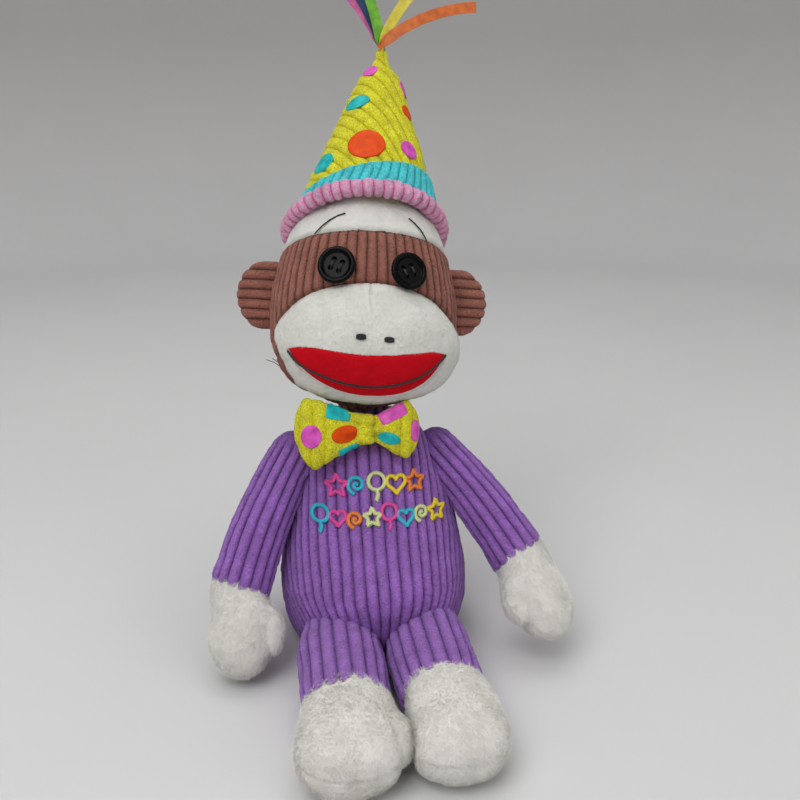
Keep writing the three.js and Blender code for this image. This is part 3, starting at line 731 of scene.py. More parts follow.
def mitten_form(profile, depths, thumb, rows, cols, seed):
    """A flattened lobe with a thumb or great toe on one side, as rings of points and their run along the limb."""
    r, s = profile_curve(profile, rows)
    depth = np.interp(s, depths[0], depths[1])[:, None]
    a = circle(cols)
    dx, dy = np.sin(a)[None, :], -np.cos(a)[None, :]
    reach = 1 / np.sqrt((dx / r[:, None]) ** 2 + (dy / (r[:, None] * depth)) ** 2)
    (tx, tz), (rx, ry, rz), tilt = thumb["at"], thumb["radii"], thumb["tilt"]
    centre = tx + np.sin(math.radians(tilt)) * (s - tz) * np.sign(tx)
    share = np.sqrt(np.clip(1 - ((s - tz) / rz) ** 2, 0, 1))[:, None]
    ax, ay = rx * share + 1e-3, ry * share + 1e-3
    # Farthest crossing of each ray from the limb's middle with the thumb's section at this row.
    A = (dx / ax) ** 2 + (dy / ay) ** 2
    B = -2 * centre[:, None] * dx / ax ** 2
    C = (centre[:, None] / ax) ** 2 - 1
    root = B ** 2 - 4 * A * C
    far = np.where(root > 0, (-B + np.sqrt(np.maximum(root, 0))) / (2 * A), 0)
    far = np.where((far > 0) & (share > 0.02), far, 0)
    reach = soft_max(reach, far, 2.4)
    p = np.stack([reach * dx, reach * dy, -np.repeat(s[:, None], cols, 1)], -1)
    n = grid_normals(p)
    lift = 0.9 * noise(p, 15, seed) + 0.45 * noise(p, 5, seed + 1) + 0.18 * noise(p, 1.7, seed + 2)
    # A seam runs round the mitten's edge and pulls the pile in a little; the shade value returned with the points
    # paints shade along it.
    seam = bump(p[..., 1] + 0.4, 0.9) * smooth(6, 16, -p[..., 2])
    return p + n * (lift - 0.6 * seam)[..., None], 1 - 0.3 * seam


for side, sign in (("right", -1), ("left", 1)):
    arm, hand = f"{side}_arm", f"{side}_hand"
    cuff = 3.0 if sign < 0 else 0.0  # the right sleeve is pulled further over its wrist
    profile = [[r, cuff + at * (1 - cuff / 51)] for r, at in HAND_PROFILE]
    thumb = {"at": (-sign * 14, 25), "radii": (7, 7.5, 14), "tilt": 9}
    p, rib = mitten_form(profile, ([0, 14, 60], [0.94, 0.8, 0.78]), thumb, 130, 190, 40 + sign)
    along = -p[..., 2]
    turn = smooth(-2, 18, along)[..., None]
    swing = np.where(sign < 0, 3.2, -2.4) * smooth(4, 26, along)  # hands hang a little in towards the body
    q = out(arm, p - [0, 0, 72]) * (1 - turn) + out(hand, p + swing[..., None] * np.array([1, 0, 0])) * turn
    q[..., 2] = np.maximum(q[..., 2], 0.5)
    # The shell under the fibres is painted darker than their tips: painted shade at the roots and along the seam.
    mitt = plush(f"{side}_plush_hand", *closed(q), WHITE, with_ends(rib * 0.75), 42000, 2.6, 0.15, 50 + sign,
                 flow=FRAMES[hand][0][2] * -1.1)
    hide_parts(f"{side}_hand", f"{side}_hand_stuffing")
    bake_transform(mitt)

    leg, foot = f"{side}_leg", f"{side}_foot"
    toe = {"at": (-sign * (18.0 if sign < 0 else 15), 25), "radii": (10.5, 11, 13), "tilt": 8}
    p, rib = mitten_form(FOOT_PROFILE, ([0, 14, 60], [0.86, 0.78, 0.76]), toe, 140, 230, 60 + sign)
    if sign < 0:
        p[..., 0] += 3.0 * smooth(0, 80, 62 - p[..., 2])
    q = out(leg, p - [0, 0, 62])
    if sign > 0:
        q[..., 0] = soft_max(q[..., 0], np.full(q.shape[:2], 4.4), 3.0)  # flattened where the other foot leans on it
    q[..., 2] = np.maximum(q[..., 2], 0.5)
    # Painted shade at the roots and along the seam, as on the hands.
    shoe = plush(f"{side}_plush_foot", *closed(q), WHITE, with_ends(rib * 0.75), 48000, 2.7, 0.16, 70 + sign,
                 flow=FRAMES[leg][0][2] * -1.0, keep=lambda at: at[:, 2] > 2.2)
    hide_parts(f"{side}_foot", f"{side}_foot_stuffing")
    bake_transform(shoe)

# ---- Head --------------------------------------------------------------------------------------------

HEAD_PROFILE = [
    [0, 3], [18, 3.5], [32, 7], [42, 14], [49, 26], [52, 40], [51.6, 54], [49.5, 68], [46.5, 80], [43.5, 90],
    [40, 98], [34, 107], [25, 114.5], [12, 119], [0, 120],
]
HEAD_CENTRE = np.array([0.0, -10.0, 45.0])
MUZZLE_AT, MUZZLE_RADII = np.array([0, -23, 28.5]), np.array([49, 33, 32.5])
SEAM_AT, SEAM_RADII = np.array([0, -48, 27.0]), np.array([60, 60, 32.5])


def head_grid(rows, cols):
    """Head and muzzle as one soft-edged surface, sampled along rays from a point inside both."""
    rr, zz = profile_curve(HEAD_PROFILE, 600)
    polar = np.linspace(0.004, np.pi - 0.004, rows)[:, None]
    a = circle(cols)[None, :]
    d = np.stack([np.sin(polar) * np.sin(a), -np.sin(polar) * np.cos(a), np.cos(polar) * np.ones_like(a)], -1)

    def lathe_inside(p):
        r = np.interp(p[..., 2], zz, rr, left=0, right=0)
        return np.hypot(p[..., 0], p[..., 1] / 0.9) < r

    def muzzle_inside(p):
        return np.sum(((p - MUZZLE_AT) / MUZZLE_RADII) ** 2, -1) < 1

    reaches = []
    for inside in (lathe_inside, muzzle_inside):
        low, high = np.zeros(d.shape[:2]), np.full(d.shape[:2], 110.0)
        for _ in range(24):
            middle = (low + high) / 2
            kept = inside(HEAD_CENTRE + d * middle[..., None])
            low, high = np.where(kept, middle, low), np.where(kept, high, middle)
        reaches.append(low)
    return HEAD_CENTRE + d * soft_max(reaches[0], reaches[1], 3.0)[..., None]


def muzzle_distance(p):
    q = (p - SEAM_AT) / SEAM_RADII
    size = np.linalg.norm(q, axis=-1)
    gradient = np.linalg.norm(q / SEAM_RADII, axis=-1) / np.maximum(size, 1e-6)
    # On the monkey's right the panel stops short and the ribbed back shows past it.
    low = np.interp(p[..., 2], [2, 10, 18, 27, 37, 44], [-18, -28, -32, -30, -19, -8])
    side = -7 + (low + 7) * smooth(-12, -36, p[..., 0])
    return np.maximum((size - 1) / np.maximum(gradient, 1e-6), p[..., 1] - side)


def brow_distance(p):
    return -(0.156 * p[..., 1] + 0.988 * (p[..., 2] - 82))


def back_distance(p):
    return -np.maximum(p[..., 1] - 8, 22 - p[..., 2])


def through(knots, x):
    """A smooth curve through [x, value] knots."""
    k = np.array(knots, float)
    slope = np.gradient(k[:, 1], k[:, 0])
    i = np.clip(np.searchsorted(k[:, 0], x) - 1, 0, len(k) - 2)
    step = k[i + 1, 0] - k[i, 0]
    t = np.clip((x - k[i, 0]) / step, 0, 1)
    return ((2 * t ** 3 - 3 * t ** 2 + 1) * k[i, 1] + (t ** 3 - 2 * t ** 2 + t) * step * slope[i]
            + (3 * t ** 2 - 2 * t ** 3) * k[i + 1, 1] + (t ** 3 - t ** 2) * step * slope[i + 1])


LIP_LEFT, LIP_RIGHT = -42.0, 39.2
LOWER_LIP = [
    [-42, 24.1], [-39.2, 19.5], [-35.6, 15.0], [-30.4, 10.5], [-24.2, 6.6], [-17.5, 3.6], [-9.7, 1.5], [3.3, 0.6],
    [15.3, 2.0], [22.6, 4.5], [29.2, 8.8], [33.6, 13.4], [36.8, 18.2], [39.2, 23.4],
]
UPPER_LIP = [
    [-42, 24.4], [-36.9, 25.0], [-30.9, 24.7], [-18.6, 22.7], [-4.7, 21.2], [9.0, 21.5], [24.7, 23.3], [33.1, 24.5],
    [39.2, 24.0],
]
SMILE = [
    [-41.6, 23.4], [-37.7, 18.5], [-31.0, 13.9], [-24.4, 10.9], [-17.4, 8.5], [-8.2, 6.5], [1.0, 5.8], [10.2, 6.8],
    [19.0, 9.0], [25.8, 12.0], [31.5, 15.8], [35.6, 19.5], [39.0, 23.6],
]


def lips_edges(x):
    """Height of the mouth's lower and upper edges at a distance from the face's middle line."""
    low, high = through(LOWER_LIP, x), through(UPPER_LIP, x)
    return np.minimum(low, high), high


def in_lips(x, y, z):
    low, high = lips_edges(x)
    return (x > LIP_LEFT) & (x < LIP_RIGHT) & (z > low) & (z < high) & (y < -20)


def build_head():
    rows, cols = 400, 720
    p = head_grid(rows, cols)
    n = grid_normals(p)
    m, b, k = muzzle_distance(p), brow_distance(p), back_distance(p)
    muzzle = m < 0
    brow = (b < 0) & ~muzzle
    back = (k < 0) & ~muzzle & ~brow
    band = ~(muzzle | brow | back)
    # How near each point is to a panel seam.
    to_muzzle = np.abs(m)
    to_brow = np.where(muzzle, 99, np.abs(b))
    to_back = np.where(muzzle | brow, 99, np.abs(k))
    near = np.minimum(np.minimum(to_muzzle, to_brow), to_back)
    x, y, z = p[..., 0], p[..., 1], p[..., 2]
    across = np.arctan2(x, -y / 0.9) * 50
    phase = (across + 0.4 * noise(p * [1, 1, 0.3], 9, 8)) / 5.7 + 0.5
    h = wale(phase)
    ribbed = band | back
    lift = np.where(ribbed, 1.15 * (h - 0.6), 0.0)
    lift += (np.where(ribbed, 0.25 * noise(p, 8, 9) * h, 0.45 * noise(p, 6, 10)) + 0.6 * noise(p, 22, 11)
             + np.where(ribbed, 0.26 * noise(p, 3, 13) * h, 0) + 0.2 * noise(p, 1.5, 12))
    lift -= np.where(ribbed, 1.5, 1.3) * bump(near, 1.5)
    lift += np.where(muzzle, 1.3 * smooth(0, 6, -m), 0)  # the plush panel swells past its seam
    bridge = bump(x + 0.5, 0.8) * smooth(38, 46, z) * muzzle
    lift -= 0.75 * bridge
    lift -= np.where(in_lips(x, y, z), 0.9, 0.0)
    q = p + n * lift[..., None]
    q[..., 2] += 3.0 * smooth(14, 2, q[..., 2]) * smooth(-20, -6, y) * smooth(40, 24, np.hypot(x, y))
    world = out("head", q).reshape(-1, 3)
    faces = oriented(world, [grid_faces(rows, cols)])[0]
    # The rib value paints shade: painted shadow in the wales' grooves, along the panel seams and down the nose bridge.
    rib = np.where(ribbed, h * (1 - 0.6 * bump(near, 1.3)), 1 - 0.45 * bump(near, 1.2) - 0.3 * bridge).ravel()
    panels = {}
    for name, region, corners in (("muzzle", muzzle, 3), ("brow", brow, 3), ("band", band, 2), ("back", back, 2)):
        panels[name] = region.ravel()[faces].sum(1) >= corners
    panels["band"] &= ~(panels["muzzle"] | panels["brow"])
    panels["back"] &= ~(panels["muzzle"] | panels["brow"] | panels["band"])
    left_over = ~(panels["muzzle"] | panels["brow"] | panels["band"] | panels["back"])
    panels["brow"] |= left_over & (brow.ravel()[faces].sum(1) >= 1)
    panels["muzzle"] |= left_over & ~panels["brow"]
    made = {}
    for name, chosen in panels.items():
        own = faces[chosen]
        used = np.unique(own)
        index = np.full(rows * cols, -1)
        index[used] = np.arange(len(used))
        made[name] = (world[used], index[own], rib[used])
    base_lift = np.where(muzzle, 1.3 * smooth(0, 6, -m), 0) + np.where(ribbed, 0.45, 0.1)
    smooth_base = out("head", p + n * base_lift[..., None])
    return made, surface_of(*capped(smooth_base))


head_panels, HEAD_SURFACE = build_head()
HEAD_MIDDLE = out("head", [0, 0, 60])


def rimmed(verts, faces, rib, depth=2.4):
    """A panel with its open edge turned in towards the head's middle, as sewn cloth is."""
    directed = np.vstack([faces[:, [k, (k + 1) % 4]] for k in range(4)])
    _, first, count = np.unique(np.sort(directed, 1), axis=0, return_index=True, return_counts=True)
    rim = directed[first[count == 1]]
    used = np.unique(rim)
    inward = unit(HEAD_MIDDLE - verts[used]) * depth
    index = np.full(len(verts), -1)
    index[used] = np.arange(len(used)) + len(verts)
    walls = np.stack([rim[:, 1], rim[:, 0], index[rim[:, 0]], index[rim[:, 1]]], -1)
    # The turned-in edge takes painted shade, 0.4 of its rib value.
    return np.vstack([verts, verts[used] + inward]), [faces, walls], np.concatenate([rib, rib[used] * 0.4])


for name, nodes in (("band", ("face_band",)), ("back", ("head_back_panel", "head_stuffing"))):
    v, f, rib = rimmed(*head_panels[name])
    panel = brushed(f"head_{name}_cover", (v, f), BROWN, rib, 22000, 103, 0.8, rooted=f[:1])
    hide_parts(*nodes)
    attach(panel, "head")


def outside_mouth(at):
    local = into("head", at)
    return ~in_lips(local[:, 0], local[:, 1], local[:, 2])


for name, node, count, length, seed in (
    ("muzzle", "muzzle_panel", 44000, 1.25, 81),
    ("brow", "forehead_panel", 30000, 0.95, 82),
):
    v, f, rib = rimmed(*head_panels[name])
    panel = plush(f"{name}_plush_panel", v, f, SHADED_FACE_WHITE, rib, count, length, 0.13, seed, rooted=f[:1],
                  flow=(0, -0.2, -1.0), lean=0.9, swirl=9, keep=outside_mouth if name == "muzzle" else None)
    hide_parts(node)
    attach(panel, "head")

FACE_AXIS = FRAMES["head"][0][1]


def on_face(x, z, lift):
    points = np.stack([np.asarray(x, float), np.full(np.shape(x), -30.0), np.asarray(z, float)], -1)
    return cast(HEAD_SURFACE, out("head", points), FACE_AXIS, lift)


def build_mouth():
    """The felt crescent, a little domed, its edges rolled under the plush."""
    cols, rows = 150, 34
    x = (LIP_LEFT + LIP_RIGHT) / 2 + (LIP_RIGHT - LIP_LEFT) / 2 * np.sin(np.linspace(-np.pi / 2, np.pi / 2, cols))
    low, high = lips_edges(x)
    t = np.linspace(0, 1, rows)[:, None]
    z = low[None, :] * (1 - t) + high[None, :] * t
    xx = np.repeat(x[None, :], rows, 0)
    edge = np.minimum(np.minimum(t, 1 - t) * (high - low)[None, :], 2.0) / 2.0
    top = on_face(xx, z, 0.0)
    n = unit(np.cross(np.gradient(top, axis=1), np.gradient(top, axis=0)))
    n = np.where((n @ FACE_AXIS)[..., None] > 0, -n, n)
    rise = -0.9 + 1.5 * np.sqrt(np.clip(edge, 0, 1)) + 0.12 * noise(top, 3, 14)
    upper = top + n * rise[..., None]
    lower = top + n * (rise - 1.1)[..., None]
    count = rows * cols
    verts = np.concatenate([upper, lower]).reshape(-1, 3)
    front = grid_faces(rows, cols, closed=False)
    border = np.concatenate([np.arange(cols), np.arange(1, rows) * cols + cols - 1,
                             (rows - 1) * cols + np.arange(cols - 2, -1, -1), np.arange(rows - 2, 0, -1) * cols])
    following = np.roll(border, -1)
    walls = np.stack([border, border + count, following + count, following], -1)
    return verts, oriented(verts, [front, front[:, ::-1] + count, walls])


mouth = mesh("mouth_felt", *build_mouth(), RED)
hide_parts("mouth_patch")
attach(mouth, "head")


def stitched_line(points, radius, step=2.4):
    """A run of back stitches along a line: one thread that dips between stitches."""
    path = np.asarray(points, float)
    length = np.concatenate([[0], np.cumsum(np.linalg.norm(np.diff(path, axis=0), axis=1))])
    s = np.arange(0, length[-1], 0.25)
    even = np.stack([np.interp(s, length, path[:, k]) for k in range(3)], -1)
    inside = np.abs(((s / step) % 1.0) - 0.5) * 2
    return tube(even, radius * (0.55 + 0.45 * np.sqrt(np.clip(1 - inside ** 4, 0, 1))), 8)


features = []
x = np.linspace(SMILE[0][0], SMILE[-1][0], 160)
features.append(stitched_line(on_face(x, through(SMILE, x), 0.85), 0.68))
for points in (
    [(-29.3, 86.2), (-25.7, 90.3), (-21.6, 93.6), (-17.5, 95.9), (-13.6, 97.2)],
    [(19.9, 96.9), (23.3, 94.5), (26.8, 91.2), (29.1, 87.6), (30.0, 85.4)],
):
    path = np.array(points)
    t = np.linspace(0, len(path) - 1, 40)
    bx, bz = (np.interp(t, np.arange(len(path)), path[:, k]) for k in (0, 1))
    features.append(stitched_line(on_face(bx, bz, 0.5), 0.42, 3.0))
for cx, cz in ((-5.9, 29.9), (8.2, 28.9)):
    # A nostril is a small block of satin stitches.
    for i, offset in enumerate(np.linspace(-2.2, 2.2, 9)):
        height = 1.5 * math.sqrt(max(1 - (offset / 2.9) ** 2, 0))
        line = on_face(np.full(6, cx + offset), np.linspace(cz - height, cz + height, 6), 0.75)
        features.append(tube(line, 0.36, 6))
face_stitching = mesh("face_stitching", *gathered(features), BLACK_THREAD)
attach(face_stitching, "head")


def loose_threads():
    """Thread tails at the end of the head's side seam."""
    start = out("head", [-43.5, -12, 15.5])
    parts = []
    for i, (dx, dy, dz) in enumerate(((-9, -3, 7.5), (-6, -5, 8.5), (-3.5, -5, 4.5))):
        t = np.linspace(0, 1, 24)[:, None]
        path = start + [i * 0.6, -i * 0.5, i * 0.5] + t * np.array([dx, dy, dz])
        path = path + np.sin(t * 4 + i) * [0.5, 0.3, 0.7] * t
        parts.append(tube(path, 0.2, 6))
    return mesh("loose_threads", *gathered(parts), BLACK_THREAD)


tails = loose_threads()
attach(tails, "head")

# ---- Buttons -----------------------------------------------------------------------------------------

BUTTON_PROFILE = [
    [0, 1.6], [5.5, 1.6], [7.6, 1.7], [9.1, 2.4], [9.9, 3.5], [9.95, 4.4], [9.4, 5.2], [8.5, 5.45], [7.7, 5.15],
    [7.1, 4.4], [6.4, 4.0], [3, 3.85], [0, 3.8],
]
DRILL_PROFILE = np.array([[1.1, -1], [1.1, 3.2], [1.25, 3.5], [1.7, 4.1], [1.9, 7]])
HOLES = (-2.3, 2.3)


def build_button(side):
    """A turned rim and dished middle with four countersunk holes cut through it."""
    r, z = profile_curve(BUTTON_PROFILE, 64)
    a = circle(96)
    p = np.stack([r[:, None] * np.cos(a), r[:, None] * np.sin(a), np.repeat(z[:, None], 96, 1)], -1)
    button = mesh(f"{side}_button_eye", *closed(out(f"{side}_eye", p)), BLACK_PLASTIC)
    drills = []
    r, z = DRILL_PROFILE[:, :1], DRILL_PROFILE[:, 1:]
    b = circle(24)
    for x in HOLES:
        for y in HOLES:
            q = np.stack([x + r * np.cos(b), y + r * np.sin(b), np.repeat(z, 24, 1)], -1)
            drills.append(capped(out(f"{side}_eye", q)))
    drill = mesh(f"{side}_drill", *gathered(drills), BLACK_PLASTIC)
    cutter = button.modifiers.new("holes", "BOOLEAN")
    cutter.operation = "DIFFERENCE"
    cutter.solver = "EXACT"
    cutter.object = drill
    bpy.context.view_layer.update()
    carved = bpy.data.meshes.new_from_object(button.evaluated_get(bpy.context.evaluated_depsgraph_get()))
    button.modifiers.clear()
    button.data = carved
    bpy.data.objects.remove(drill)
    return button


def build_button_thread(side):
    """Thread up through each hole, across in two bars, and the wound shank under the button."""
    name = f"{side}_eye"
    parts = []
    for y in HOLES:
        for strand in (-0.42, 0.0, 0.42):
            t = np.linspace(0, 1, 26)
            x = -2.3 + 4.6 * t
            z = 4.05 + 0.35 * np.sin(np.pi * t) - 3.4 * (bump(t, 0.10) + bump(1 - t, 0.10))
            parts.append(tube(out(name, np.stack([x, y + strand + 0 * t, z], -1)), 0.27, 6))
    turns = np.linspace(0, 5 * 2 * np.pi, 140)
    coil = np.stack([3.6 * np.cos(turns), 3.6 * np.sin(turns), -0.9 + 2.3 * turns / turns[-1]], -1)
    parts.append(tube(out(name, coil), 0.5, 6))
    return mesh(f"{side}_button_thread", *gathered(parts), BLACK_THREAD)


for side in ("right", "left"):
    button = build_button(side)
    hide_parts(f"{side}_eye_button")
    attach(button, "head")
    shank = build_button_thread(side)
    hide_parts(f"{side}_eye_thread")
    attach(shank, "head")

# ---- Ears --------------------------------------------------------------------------------------------


def build_ear(side, sign):
    """A flat padded disc with level ribs and a scalloped edge, cupped a little to the front."""
    rows, cols = 110, 260
    polar = np.linspace(0.01, np.pi - 0.01, rows)[:, None]
    a = circle(cols)[None, :]
    s, c = np.sin(polar), np.cos(polar)
    p = np.stack([17.6 * s * np.cos(a), 6.0 * squashed(c, 0.8) * np.ones_like(a), 19.2 * s * np.sin(a)], -1)
    n = grid_normals(p)
    h = wale((p[..., 2] + 0.5 * noise(p * [0.3, 1, 1], 8, 15)) / 5.6 + 0.5)
    rim = smooth(0.72, 0.97, s * np.ones_like(a))
    cup = -2.2 * (1 - s ** 2) * (p[..., 1] < 0)
    lift = 1.25 * (h - 0.6) + 0.3 * noise(p, 6, 16) + 0.15 * noise(p, 1.5, 17) - 0.9 * bump(p[..., 1], 0.7) * rim
    q = p + n * lift[..., None]
    q[..., 1] -= cup
    q += np.array([sign * 53, 3, 58])
    # Painted shadow in the grooves and along the rim seam.
    rib = with_ends(h * (1 - 0.4 * bump(p[..., 1], 0.7) * rim))
    return brushed(f"{side}_ear_cover", closed(out("head", q)), BROWN, rib, 9000, 104)


for side, sign in (("right", -1), ("left", 1)):
    ear = build_ear(side, sign)
    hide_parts(f"{side}_ear")
    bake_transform(ear)

# ---- Neck --------------------------------------------------------------------------------------------


def build_neck():
    rows, cols = 60, 220
    z = np.linspace(-8, 14, rows)
    a = circle(cols)
    r = 13 + 0.9 * np.cos((z - 3) / 11 * np.pi)
    h = wale(14 * a / (2 * np.pi))[None, :] * np.ones((rows, 1))
    zz = z[:, None] + 0 * a
    middle = np.stack([np.cos(a) * 13 + 0 * zz, np.sin(a) * 13 + 0 * zz, zz], -1)
    rr = r[:, None] - 1.2 + 1.2 * h + 0.3 * noise(middle, 5, 3)
    p = np.stack([rr * np.cos(a), rr * np.sin(a), zz], -1)
    return mesh("neck_gusset", *closed(out("head", p)), BROWN, with_ends(h))


neck = build_neck()
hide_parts("neck_tube")
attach(neck, "neck")

# ---- Hat ---------------------------------------------------------------------------------------------

HAT_HEIGHT = 103.0


def hat_radius(z):
    return 3 + 39 * (1 - np.clip(z / HAT_HEIGHT, 0, 1)) ** 0.82


def hat_point(a, z, grow=0.0):
    """A point on the hat's side: a turns from the front (0) towards the monkey's left."""
    r = hat_radius(z) + grow
    x, y = r * np.sin(a) + 8 * z / HAT_HEIGHT, -r * np.cos(a) - 30 * z / HAT_HEIGHT
    return np.stack([x, y, z * np.ones_like(r * a)], -1)


def build_hat_cone():
    rows, cols = 230, 460
    z = np.linspace(2, HAT_HEIGHT, rows)[:, None]
    a = (circle(cols) - np.pi)[None, :] + 0 * z
    p = hat_point(a, z + 0 * a)
    n = grid_normals(p)
    # The wales run straight across the flat-cut cloth, so on the rolled cone they wind round it.
    slant = np.hypot(HAT_HEIGHT - z, 42 * (HAT_HEIGHT - z) / HAT_HEIGHT) + 4
    rolled = a * 0.378
    phase = slant * np.sin(rolled - math.radians(34)) / PITCH + 0.06 * noise(p, 12, 18)
    h = wale(phase)
    seam = bump((np.pi - np.abs(a)) * hat_radius(z), 1.5)
    tip = smooth(90, 101, z + 0 * a)
    lift = (1.2 * (h - 0.75) * (1 - 0.5 * tip) + 0.8 * noise(p, 20, 19) * (1 - tip) + 0.25 * noise(p, 7, 20) * h
            + 0.13 * noise(p, 1.5, 21) - 1.4 * seam)
    lift += tip * 0.5 * np.cos(a * 6)
    lift -= 2.4 * smooth(84, 96, z) * smooth(104, 99, z) + 0.7 * bump(z - 92, 2.2)
    q = p + n * lift[..., None]
    # Two more rings close the gathered, blunt tip.
    last, middle = q[-1], q[-1].mean(0)
    extra = np.stack([last * 0.75 + middle * 0.25 + [0, 0, 1.2], last * 0.35 + middle * 0.65 + [0, 0, 1.9]])
    q = np.concatenate([q, extra])
    h = np.concatenate([h, np.ones((2, cols))])
    cone = brushed("hat_cone_cover", closed(out("hat", q)), YELLOW, with_ends(h), 16000, 105, 0.5)
    base_lift = 0.55 + 0.8 * noise(p, 20, 19) * (1 - tip) - 2.4 * smooth(84, 96, z) * smooth(104, 99, z)
    return cone, surface_of(*capped(out("hat", p + n * base_lift[..., None])))


hat_cover, HAT_SURFACE = build_hat_cone()
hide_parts("hat_cone", "hat_stuffing")
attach(hat_cover, "head")


def band_top(a):
    """The blue band is cut deeper on the monkey's left than on its right."""
    return 17.5 + 8.5 * np.sin(a)


def build_band():
    rows, cols = 60, 520
    t = np.linspace(0, 1, rows)[:, None]
    a = circle(cols)[None, :] + 0 * t
    z = 1.5 + (band_top(a) - 1.5) * t
    p = hat_point(a, z, 0.9)
    n = grid_normals(p)
    phase = (a * 41 - z * 0.28) / 5.4 + 0.08 * noise(p, 9, 22)
    h = wale(phase)
    edge = np.sqrt(np.clip(1 - (1 - np.minimum((1 - t) * 12, 1)) ** 2, 0, 1))
    lift = (1.15 * (h - 0.35) + 0.25 * noise(p, 6, 23) * h + 0.14 * noise(p, 1.5, 24)) * edge - 1.0 * (1 - edge)
    outer = p + n * (lift + 0.55 * edge)[..., None]
    inner = hat_point(a, z, -1.2)
    q = np.concatenate([inner[:1], outer, inner[-1:]])
    # Close the strip through its hidden inner face.
    verts = out("hat", q).reshape(-1, 3)
    total = len(q)
    faces = [grid_faces(total, cols)]
    c = np.arange(cols)
    d = (c + 1) % cols
    faces.append(np.stack([(total - 1) * cols + c, (total - 1) * cols + d, d, c], -1))
    # The turned-under edges take painted shade.
    rib = np.concatenate([np.ones((1, cols)) * 0.3, h, np.ones((1, cols)) * 0.3])
    return brushed("hat_band_cover", (verts, oriented(verts, faces)), BLUE, rib.ravel(), 10000, 106, 0.7)


band = build_band()
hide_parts("hat_band")
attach(band, "head")


def build_brim():
    """A rolled brim: the ribs run over the roll, so each one is a plump segment."""
    around, section = 1000, 72
    a, b = circle(around)[:, None], circle(section)[None, :]
    place = np.stack([43 * np.sin(a), -43 * np.cos(a), 0 * a], -1)
    phase = a * 43 / 5.3 + 0.10 * noise(place, 8, 25) + 0.05 * np.sin(b)
    h = wale(phase, 2.0)
    r = 4.1 + 1.2 * (h - 0.5)
    p = np.stack([(43 + r * np.cos(b)) * np.sin(a), -(43 + r * np.cos(b)) * np.cos(a), r * np.sin(b) * 1.04], -1)
    p += 0.5 * np.stack([noise(p, 14, s) for s in (26, 27, 28)], -1)
    swell = 0.30 * noise(p, 1.6, 29) + 0.5 * noise(p, 4, 30)
    p += unit(p - place) * swell[..., None]
    p[..., 2] += 0.8 * np.sin(2 * a + 0.6)
    verts = out("hat", p).reshape(-1, 3)
    i = np.arange(around)[:, None]
    j = np.arange(section)[None, :]
    k, l = (i + 1) % around, (j + 1) % section
    faces = np.stack([i * section + j, i * section + l, k * section + l, k * section + j], -1).reshape(-1, 4)
    rib = (h * np.ones((1, section))).ravel()
    return brushed("hat_brim_cover", (verts, oriented(verts, [faces])), PINK, rib, 18000, 107, 0.9)


brim = build_brim()
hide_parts("hat_brim_roll")
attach(brim, "head")


def decal(tree, centre, right, up, direction, width, height, turn, lift=0.12, box=False):
    """A thin film lying on a surface: an ellipse or a soft-cornered bar, wrapped from a flat outline."""
    thick, rings = 0.14, 14
    a = circle(60)
    e = 0.28 if box else 1.0
    ox = squashed(np.cos(a), e) * width / 2
    oy = squashed(np.sin(a), e) * height / 2
    c, s = math.cos(math.radians(turn)), math.sin(math.radians(turn))
    ox, oy = ox * c - oy * s, ox * s + oy * c
    t = np.linspace(0.02, 1, rings)[:, None]
    flat = centre + (t * ox)[..., None] * right + (t * oy)[..., None] * up
    hit = cast(tree, flat, direction, lift)
    n = unit(np.cross(np.roll(hit, -1, 1) - np.roll(hit, 1, 1), np.gradient(hit, axis=0)))
    n = np.where((n @ np.asarray(direction))[..., None] > 0, -n, n)
    fade = np.sqrt(np.clip(1 - t ** 8, 0, 1))[..., None]
    top = hit + n * thick * fade
    bottom = hit[::-1] - n[::-1] * 0.5
    return capped(np.concatenate([top, bottom]))


def decals(name, body, items):
    """One object for each foil colour."""
    for colour in FOILS:
        shapes = [shape for own, shape in items if own == colour]
        if not shapes:
            continue
        obj = mesh(f"{name}_{colour}", *gathered(shapes), FOILS[colour])
        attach(obj, body)


def hat_dot(colour, degrees, z, width, height, turn):
    """A foil dot on the hat, at an angle in degrees from its front."""
    a = math.radians(degrees)
    here, step, rise = (out("hat", hat_point(np.array(x), np.array(y))) for x, y in
                        ((a, float(z)), (a + 0.02, float(z)), (a, z + 1.0)))
    right, up = unit(step - here), unit(rise - here)
    direction = -unit(np.cross(right, up))
    if direction @ (here - out("hat", [0, -15, z])) > 0:
        direction = -direction
    square = unit(np.cross(direction, right))
    if square @ up < 0:
        square = -square
    return colour, decal(HAT_SURFACE, here, right, square, direction, width, height, turn)


HAT_DOTS = [
    ("teal", -34, 61.5, 15, 9.5, 6), ("teal", -53, 25, 15, 13, -10), ("orange", -8.9, 29.5, 20.5, 18.5, 0),
    ("pink", 35, 31.4, 11.5, 11, 0), ("orange", 50, 60.6, 9, 8.5, 0), ("pink", -30, 85, 9, 9, 0),
    ("pink", 66, 78.5, 10, 10, 0), ("teal", 88, 38, 11, 12, 0), ("orange", 118, 62, 10, 11, 0),
    ("pink", -104, 44, 11, 12, 0), ("teal", 150, 42, 13, 12, 0), ("orange", -140, 62, 10, 11, 0),
    ("pink", 170, 72, 9, 10, 0), ("orange", -165, 34, 15, 14, 0), ("pink", 120, 34, 10, 11, 0),
    ("teal", -120, 78, 8, 9, 0),
]
decals("hat_dots", "head", [hat_dot(*d) for d in HAT_DOTS])

# ---- Ribbons -----------------------------------------------------------------------------------------

RIBBONS = {
    "orange": (45, 42, (19.144, 108.169, 317.461)), "yellow": (16, 42, (19.144, 109.069, 316.727)),
    "green": (-8, -20, (19.144, 109.969, 316.128)), "navy": (-14, -32, (19.144, 110.869, 316.804)),
    "pink": (-21, -36, (19.144, 111.769, 317.084)),
}


